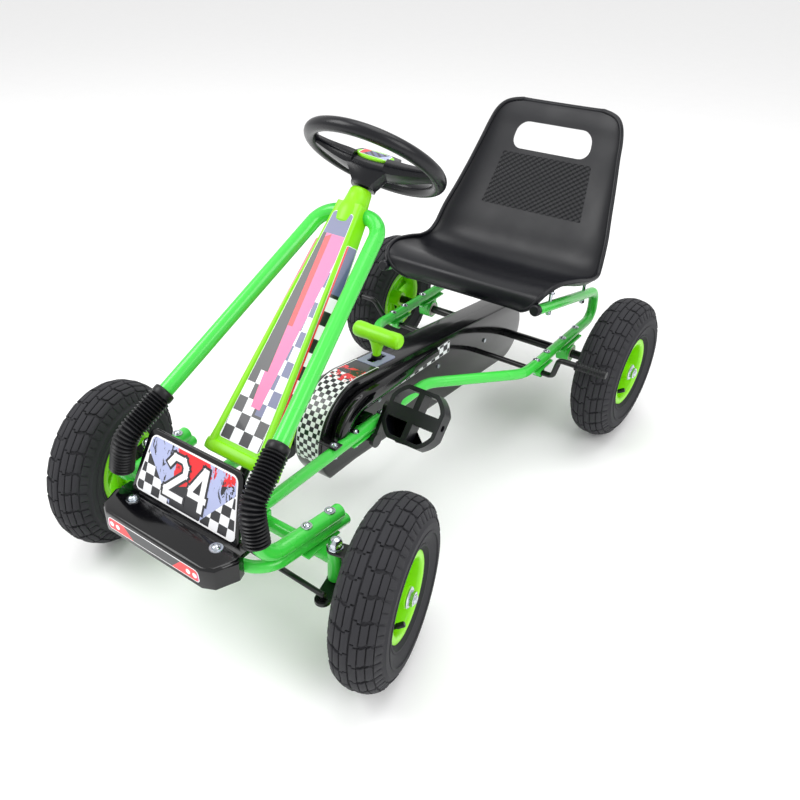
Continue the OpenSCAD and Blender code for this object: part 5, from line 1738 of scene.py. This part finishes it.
@dataclass
class Fairing:
    """The nose fairing under the steering wheel, with its ridges, neck hood and films."""

    length: float = 388.0
    low: tuple[float, float] = (-2.0, 104.0)
    high: tuple[float, float] = (258.0, 392.0)
    front: tuple[float, float] = (44.0, 19.0)
    back: tuple[float, float] = (70.0, 24.0)
    depth: float = 22.0

    def place(self) -> Matrix:
        """Give the front face's frame: +Y up along it and +Z out of it, in metres."""
        slope = math.atan2(self.high[1] - self.low[1], self.high[0] - self.low[0])
        return move(at(0, *self.low)) @ spin(slope, 4, "X")

    def half(self, pair: tuple[float, float], s: float) -> float:
        """Half a width at a distance s up the front face, in millimetres."""
        return pair[0] + (pair[1] - pair[0]) * s / self.length

    def shell(self) -> BMesh:
        """Loft the thin shell: front face, rounded shoulders and flanks, open behind.

        Returns:
            The shell.
        """
        bm = bmesh.new()
        rows = []
        for i in range(41):
            s = self.length * i / 40
            f, b = self.half(self.front, s), self.half(self.back, s)
            side = [(b, -self.depth), (b - (b - f) * 0.5, -self.depth * 0.56), (f + 2.6, -4.2),
                    (f + 1.4, -1.6),
                    (f - 0.6, -0.3), (f - 3.2, 0.0)]
            points = [(-x, z) for x, z in side] + [(x, z) for x, z in reversed(side)]
            rows.append([bm.verts.new((x * MM, s * MM, z * MM)) for x, z in points])
        for low, high in zip(rows, rows[1:]):
            for k in range(len(low) - 1):
                bm.faces.new((low[k], low[k + 1], high[k + 1], high[k]))
        bmesh.ops.recalc_face_normals(bm, faces=bm.faces)
        if sum(f.normal.z * f.calc_area() for f in bm.faces) < 0:
            bmesh.ops.reverse_faces(bm, faces=bm.faces)
        bmesh.ops.solidify(bm, geom=bm.faces[:], thickness=2.5 * MM)
        return bm

    def ridges(self, bm: BMesh) -> None:
        """Add the two ridges that start as a point and widen downwards, and the lower lip.

        Args:
            bm: The mesh that gets it.
        """
        for side in (-1, 1):
            stations = []
            for s, w, t in ((276, 0.4, 0.6), (262, 1.2, 1.6), (220, 2.4, 2.6), (160, 3.6, 3.2),
                            (90, 4.8, 3.6), (30, 5.6, 3.8), (14, 5.8, 3.8)):
                x = side * (self.half(self.front, s) + 0.5)
                middle = move((x * MM, s * MM, -0.6 * MM))
                stations.append(Station(middle @ spin(math.pi / 2, 4, "X"), w * MM, t * MM))
            sweep(bm, stations, 20, squareness=0.3)
        lip = [Station(move((x * MM, y * MM, z * MM)) @ spin(math.pi / 2, 4, "Y"),
                       6.5 * MM, 9 * MM)
               for x, y, z in ((-60, 9, -14), (-52, 9, -8), (-44, 9, -3), (-30, 9, -1.2), (0, 9, -0.6),
                               (30, 9, -1.2), (44, 9, -3), (52, 9, -8), (60, 9, -14))]
        sweep(bm, lip, 24, squareness=0.3)

    def hood(self, bm: BMesh) -> None:
        """Add the hood that leads the fairing's top into the column's collar.

        Args:
            bm: The mesh that gets it.
        """
        down = Vector((0, -sin(COLUMN_TILT), -cos(COLUMN_TILT)))
        neck = aimed(at(*COLUMN_TOP) + down * 46 * MM, down)
        drum(bm, neck, mm((8, 0), (14, 0.6), (16, 4), (17, 14),
                        (18, 22), (20.5, 28), (22, 38), (21, 52),
                        (16, 58), (8, 58)), 48, closed=True)

    def build(self) -> None:
        """Build the shell and lay the films on its front and flanks."""
        place = self.place()
        bm = self.shell()
        self.ridges(bm)
        bmesh.ops.transform(bm, matrix=place, verts=bm.verts)
        self.hood(bm)
        Piece("fairing_moulding", "frame", "lime_plastic", (LIME_PLASTIC,), ("nose_fairing",), 35.0).make(bm)
        low, high = 24.0, 372.0
        a, b = self.half(self.front, low) - 5.5, self.half(self.front, high) - 3.0
        film_piece("fairing_film", "frame", "sticker_film", Print.FAIRING, place,
                   [(-a * MM, low * MM), (a * MM, low * MM), (b * MM, high * MM), (-b * MM, high * MM)],
                   5 * MM, 0.9 * MM, 0.5 * MM)
        for side in (-1, 1):
            self.flank(place, side)

    def flank(self, place: Matrix, side: int) -> None:
        """Lay the flank's film.

        Args:
            place: The front face's frame.
            side: 1 for the driver's left, -1 for the right.
        """
        corners = []
        for s in (36.0, 330.0):
            f, b = self.half(self.front, s), self.half(self.back, s)
            for share in (0.16, 0.9):
                x = f + (b - f) * share
                corners.append(place @ Vector((side * x * MM, s * MM, -self.depth * share * MM)))
        near_low, far_low, near_high, far_high = corners
        up = (near_high - near_low).normalized()
        out = (far_low - near_low).cross(up).normalized() * side
        if out.dot(Vector((side, -0.4, 0.2))) < 0:
            out.negate()
        across = up.cross(out)
        flat = move(near_low) @ Matrix((across, up, out)).transposed().to_4x4()
        back = flat.inverted()
        points = [back @ p for p in (near_low, far_low, far_high, near_high)]
        outline = [(p.x, p.y) for p in points]
        if points[1].x < 0:
            outline = [outline[1], outline[0], outline[3], outline[2]]
        film_piece(f"flank_film_{'left' if side > 0 else 'right'}", "frame", "sticker_film", Print.FLANK,
                   flat, outline, 3 * MM, 0.8 * MM, 1.0 * MM)


@dataclass
class ChainCase:
    """The glossy chain case between the driver's legs, with its arch, films and lever slot."""

    half_width: float = 27.0
    centre: tuple[float, float] = (245.0, 35.0)
    nose: float = 88.0
    tail: float = 60.0
    floor: float = -25.0
    top_from: float = 196.0
    top_to: float = 83.0

    def outline(self) -> list[tuple[float, float]]:
        """Trace the case's side from the nose's foot over the top to the rear and back.

        Returns:
            The corners in turn.
        """
        cy, cz = self.centre
        points = [(cy + self.nose * cos(radians(a)), cz + self.nose * sin(radians(a)))
                  for a in range(223, 82, -6)]
        points += [(WHEELBASE + self.tail * cos(radians(a)), self.tail * sin(radians(a)))
                   for a in range(84, -97, -10)]
        return points + [(cy, self.floor)]

    def on_top(self, s: float) -> tuple[float, float, float]:
        """Find the place on the nose and top at a length s: y, z and the slope's angle.

        Args:
            s: Length along it.

        Returns:
            y, z and the slope's angle.
        """
        cy, cz = self.centre
        start, end = radians(self.top_from), radians(self.top_to)
        arc = (start - end) * self.nose
        if s < arc:
            a = start - s / self.nose
            return cy + self.nose * cos(a), cz + self.nose * sin(a), a
        ahead = s - arc
        y, z = cy + self.nose * cos(end), cz + self.nose * sin(end)
        slope = math.atan2(self.tail - z, WHEELBASE - y)
        return y + ahead * cos(slope), z + ahead * sin(slope), slope + math.pi / 2

    def body(self, side: int) -> None:
        """Build one half of the case, up to the seam.

        Args:
            side: 1 for the driver's left, -1 for the right.
        """
        bm = bmesh.new()
        upright = Matrix(((0, 0, 1, 0), (1, 0, 0, 0), (0, 1, 0, 0), (0, 0, 0, 1)))
        corners = list(reversed([((y - MID_Y) * MM, (z + TYRE_RADIUS) * MM) for y, z in self.outline()]))
        made = rounded_plate(bm, corners, 0, 0.2 * MM, self.half_width * MM, 3.2 * MM)
        bmesh.ops.transform(bm, matrix=upright, verts=made)
        tool = bmesh.new()
        box(tool, at(-7, 314, 84), at(7, 354, 140))
        bm = carved(bm, tool)
        tool = bmesh.new()
        drum(tool, aimed(at(5, *CRANK_AT), X_AXIS), [(0, 0), (17 * MM, 0), (17 * MM, 0.05), (0, 0.05)], 40)
        bm = carved(bm, tool)
        route = [at(37, *self.arch(a)) for a in range(176, 80, -6)]
        route += [at(37 - i * 1.6, 262 + i * 30, 92.5 - i * 2.6) for i in range(1, 8)]
        stations = []
        for i, place in enumerate(along(route)):
            fade = min(1.0, 0.72 + 0.1 * i) * (1.0 if i < 18 else 1.0 - 0.07 * (i - 17))
            side_way = place.to_3x3().inverted() @ X_AXIS
            turn = spin(math.atan2(side_way.y, side_way.x), 4, "Z")
            stations.append(Station(place @ turn, 11 * MM * fade, 13.5 * MM * fade))
        sweep(bm, stations, 28, squareness=0.45)
        box(bm, at(26, 151, 58.8), at(59, 169, 61.6), bevel=0.8 * MM)
        drum(bm, aimed(at(26, *CRANK_AT), X_AXIS), mm((17, 0), (27, 0), (26, 2.6), (17, 3)),
             48, closed=True)
        if side < 0:
            bmesh.ops.scale(bm, vec=(-1, 1, 1), verts=bm.verts)
            bmesh.ops.reverse_faces(bm, faces=bm.faces)
        label = "left" if side > 0 else "right"
        Piece(f"case_{label}_moulding", "frame", "black_plastic", (GLOSS_PLASTIC,), (f"case_{label}",),
              32.0).make(bm)

    def arch(self, degrees: float) -> tuple[float, float]:
        """Find the middle of the arch band at an angle."""
        a = radians(degrees)
        return self.centre[0] + 58.5 * cos(a), self.centre[1] + 58.5 * sin(a)

    def top_film(self) -> None:
        """Wrap the chequered film over the nose and the top, up to the lever."""
        bm = bmesh.new()
        layer = bm.loops.layers.uv.verify()
        rows = []
        for i in range(61):
            s = 228.0 * i / 60
            y, z, a = self.on_top(s)
            lift = 0.35
            y, z = y + lift * cos(a), z + lift * sin(a)
            rows.append([(bm.verts.new(at(x, y, z)), x, s) for x in (-23.5, -11.8, 0.0, 11.8, 23.5)])
        for low, high in zip(rows, rows[1:]):
            for k in range(4):
                corners = (low[k], low[k + 1], high[k + 1], high[k])
                face = bm.faces.new([c[0] for c in corners])
                for loop, (_, x, s) in zip(face.loops, corners):
                    loop[layer].uv = (x, s)
        bmesh.ops.recalc_face_normals(bm, faces=bm.faces)
        if sum(f.normal.z for f in bm.faces) < 0:
            bmesh.ops.reverse_faces(bm, faces=bm.faces)
        bmesh.ops.solidify(bm, geom=bm.faces[:], thickness=0.3 * MM)
        Piece("case_top_film", "frame", "sticker_film", (Film(Print.CASE_TOP),)).make(bm)

    def slot_plate(self) -> None:
        """Frame the lever's slot with its pale plate."""
        y, z, a = self.on_top(self.slot_at())
        flat = aimed(at(0, y, z), Vector((0, cos(a), sin(a))), Y_AXIS)
        bm = bmesh.new()
        rounded_plate(bm, mm((-19, -29), (19, -29), (19, 29), (-19, 29)),
                      5 * MM, -1 * MM, 1.6 * MM, 0.5 * MM)
        tool = bmesh.new()
        rounded_plate(tool, mm((-7, -20), (7, -20), (7, 20), (-7, 20)),
                      4 * MM, -5 * MM, 5 * MM)
        bm = carved(bm, tool)
        bmesh.ops.transform(bm, matrix=flat, verts=bm.verts)
        Piece("slot_plate", "frame", "black_plastic", (PALE_PLASTIC,)).make(bm)

    def slot_at(self) -> float:
        """Length along the top at which the lever stands."""
        arc = radians(self.top_from - self.top_to) * self.nose
        return arc + (LEVER_Y - self.centre[0] - self.nose * cos(radians(self.top_to))) * 1.008

    def build(self) -> None:
        """Build both halves and their films."""
        for side in (-1, 1):
            self.body(side)
            flat = move(at(side * 27, 330, 62)) @ Matrix(
                ((0, 0, side), (side, 0, 0), (0, 1, 0))).to_4x4()
            edges = (-60, 190) if side > 0 else (-190, 60)
            film_piece(f"case_film_{'left' if side > 0 else 'right'}", "frame", "sticker_film",
                       Print.CASE_SIDE, flat,
                       [(edges[0] * MM, 0), (edges[1] * MM, -8 * MM), (edges[1] * MM, 15 * MM),
                        (edges[0] * MM, 23 * MM)], 3 * MM, 0.7 * MM, 0.4 * MM)
        self.top_film()
        self.slot_plate()


@dataclass
class Lever:
    """The T-shaped lever: a thick lime grip on a tapering stem with a black collar."""

    def build(self) -> None:
        """Build the lever."""
        bm = bmesh.new()
        grip = aimed(at(-44, 336, 155), X_AXIS)
        profile = [(0, 0), (8.5, 0), (11.6, 2.4), (13, 6), (13, 19), (12.4, 26), (12.6, 34), (13, 44),
                   (12.6, 54), (12.4, 62), (13, 69), (13, 82), (11.6, 85.6), (8.5, 88), (0, 88)]
        drum(bm, grip, mm(*profile), 40)
        stem = [Station(move(at(0, y, z)), w * MM, d * MM)
                for y, z, w, d in ((334, 86, 4, 5), (334, 104, 4.6, 5.5), (334.4, 124, 6.5, 6.5),
                                   (335, 138, 10, 8), (335.6, 146, 14, 10))]
        sweep(bm, stem, 28, squareness=0.4)
        drum(bm, aimed(at(-6, 334, 86), X_AXIS), mm((4.2, 0), (8, 0), (8, 12), (4.2, 12)),
             36, closed=True)
        Piece("lever_moulding", "drive_lever", "lime_plastic", (LIME_PLASTIC,), ("drive_lever",)).make(bm)
        bm = bmesh.new()
        drum(bm, move(at(0, 334.2, 112)),
             mm((4, 0), (8.5, 0), (9, 1.5), (8.4, 8), (4, 8.4)), 32, closed=True)
        Piece("lever_collar", "drive_lever", "black_plastic", (BLACK_PLASTIC,)).make(bm)


@dataclass
class Brake:
    """The bent brake rod with its two rubber grips."""

    path: tuple = ((279, 605, 57), (198, 605, 57), (182, 625, 10), (-182, 625, 10), (-198, 605, 57),
                   (-279, 605, 57))

    def build(self) -> None:
        """Build the rod and the ribbed grips."""
        bm = bmesh.new()
        tube(bm, [at(*p) for p in self.path], [12 * MM] * 6, 5 * MM, sides=20)
        Piece("brake_rod", "brake", "black_steel", (BLACK_ENAMEL,), ("brake_bar",), 30.0).make(bm)
        bm = bmesh.new()
        profile = [(5.02, 0), (8.5, 0), (8.5, 2.6), (7.2, 3.2)]
        for i in range(9):
            z = 6 + i * 5
            profile += [(7.0, z), (7.6, z + 0.8), (7.6, z + 2.6), (7.0, z + 3.4)]
        profile += [(7.4, 52), (6.4, 55), (0, 55), (0, 51), (5.02, 51)]
        drum(bm, aimed(at(228, 605, 57), X_AXIS), mm(*profile), 32, closed=True)
        recalculated(bm)
        mirrored(bm)
        Piece("brake_grip_covers", "brake", "black_rubber", (BELLOWS_PVC,), ("brake_grips",), 50.0).make(bm)


# The material slot of each finish that such a part can have.
SLOTS = {BLACK_PLASTIC: "black_plastic", NYLON: "nylon", ZINC_PLATE: "zinc_steel", GREEN_COAT: "green_paint",
         OILED_STEEL: "chain_steel", BLACK_ENAMEL: "black_steel"}
# CAD parts that keep their CAD shape, with their surface.
REFINED = {
    "rail_plugs": BLACK_PLASTIC, "kingpin_bushes": NYLON,
    "column_bushes": NYLON, "case_screws": ZINC_PLATE,
    "lever_pin": ZINC_PLATE, "crank_bracket_left": GREEN_COAT,
    "crank_bracket_right": GREEN_COAT, "crank_bushes": NYLON,
    "chain": OILED_STEEL, "axle_bracket_left": GREEN_COAT,
    "axle_bracket_right": GREEN_COAT, "axle_bearings": NYLON,
    "brake_lugs": GREEN_COAT, "seat_bolts": ZINC_PLATE,
    "steering_column": BLACK_ENAMEL, "column_nut": ZINC_PLATE,
    "knuckle_left": BLACK_ENAMEL, "knuckle_right": BLACK_ENAMEL,
    "tie_rod_left": BLACK_ENAMEL, "tie_rod_right": BLACK_ENAMEL,
    "hub_bushes_left": NYLON, "hub_bushes_right": NYLON,
    "rear_axle": BLACK_ENAMEL, "axle_sprocket": OILED_STEEL,
    "crank": BLACK_ENAMEL, "chainring": OILED_STEEL,
    "pedal_left": BLACK_PLASTIC, "pedal_right": BLACK_PLASTIC,
}


# ---- studio


@dataclass
class Studio:
    """The pale floor, the soft lamps and the camera."""

    def area(self, name: str, spot: Vector, size: float, watts: float) -> None:
        """Hang one square soft lamp that looks at the kart.

        Args:
            name: The lamp's name.
            spot: Where it hangs.
            size: Its side.
            watts: Its power.
        """
        lamp = bpy.data.lights.new(name, "AREA")
        lamp.shape, lamp.size, lamp.energy = "SQUARE", size, watts
        obj = bpy.data.objects.new(name, lamp)
        obj.matrix_world = aimed(spot, spot - Vector((0, 0, 0.2)))
        bpy.context.scene.collection.objects.link(obj)

    def floor(self) -> None:
        """Lay the plain pale floor."""
        mesh = bpy.data.meshes.new("floor")
        bm = bmesh.new()
        bmesh.ops.create_grid(bm, x_segments=1, y_segments=1, size=60.0)
        bm.to_mesh(mesh)
        bm.free()
        obj = bpy.data.objects.new("floor", mesh)
        bpy.context.scene.collection.objects.link(obj)
        mesh.materials.append(Finish("white_paper", "#FFFFFF", "#FCFCFC", 0.7, grain_depth_mm=0.0).build())

    def camera(self) -> None:
        """Set the camera up in front of the kart, to its right and above it."""
        data = bpy.data.cameras.new("camera")
        data.sensor_width, data.lens = 36.0, 37.19
        data.shift_x, data.shift_y = 0.0856, 0.0157
        obj = bpy.data.objects.new("camera", data)
        yaw, pitch, roll = radians(38.44), radians(90 - 33.21), radians(-0.28)
        turn = spin(yaw, 4, "Z") @ spin(pitch, 4, "X") @ spin(roll, 4, "Z")
        obj.matrix_world = move((0.6646, -1.0080, 0.8991)) @ turn
        bpy.context.scene.collection.objects.link(obj)
        bpy.context.scene.camera = obj

    def build(self) -> None:
        """Set up the studio."""
        world = bpy.data.worlds.new("studio")
        world.use_nodes = True
        back = world.node_tree.nodes["Background"]
        back.inputs["Color"].default_value = (1.0, 1.0, 1.0, 1.0)
        back.inputs["Strength"].default_value = 0.85
        bpy.context.scene.world = world
        bpy.context.scene.view_settings.view_transform = "Standard"
        self.floor()
        self.area("key", Vector((-1.6, -1.6, 2.4)), 1.6, 42)
        self.area("fill", Vector((2.2, -0.6, 1.8)), 1.4, 20)
        self.area("top", Vector((0.1, 0.5, 2.6)), 1.8, 24)
        self.camera()


def main() -> None:
    """Build every piece of the kart, then the studio."""
    for wheel in wheel_places():
        wheel.build()
    for part in (HubNuts(), Frame(), Boots(), SteeringWheel(), Seat(), BumperCover(), Fairing(),
                 ChainCase(), Lever(), Brake()):
        part.build()
    for name, finish in REFINED.items():
        refined(name, finish, 1.2 if name.startswith("pedal") else 0.4)
    Studio().build()


if __name__ == "__main__":
    main()
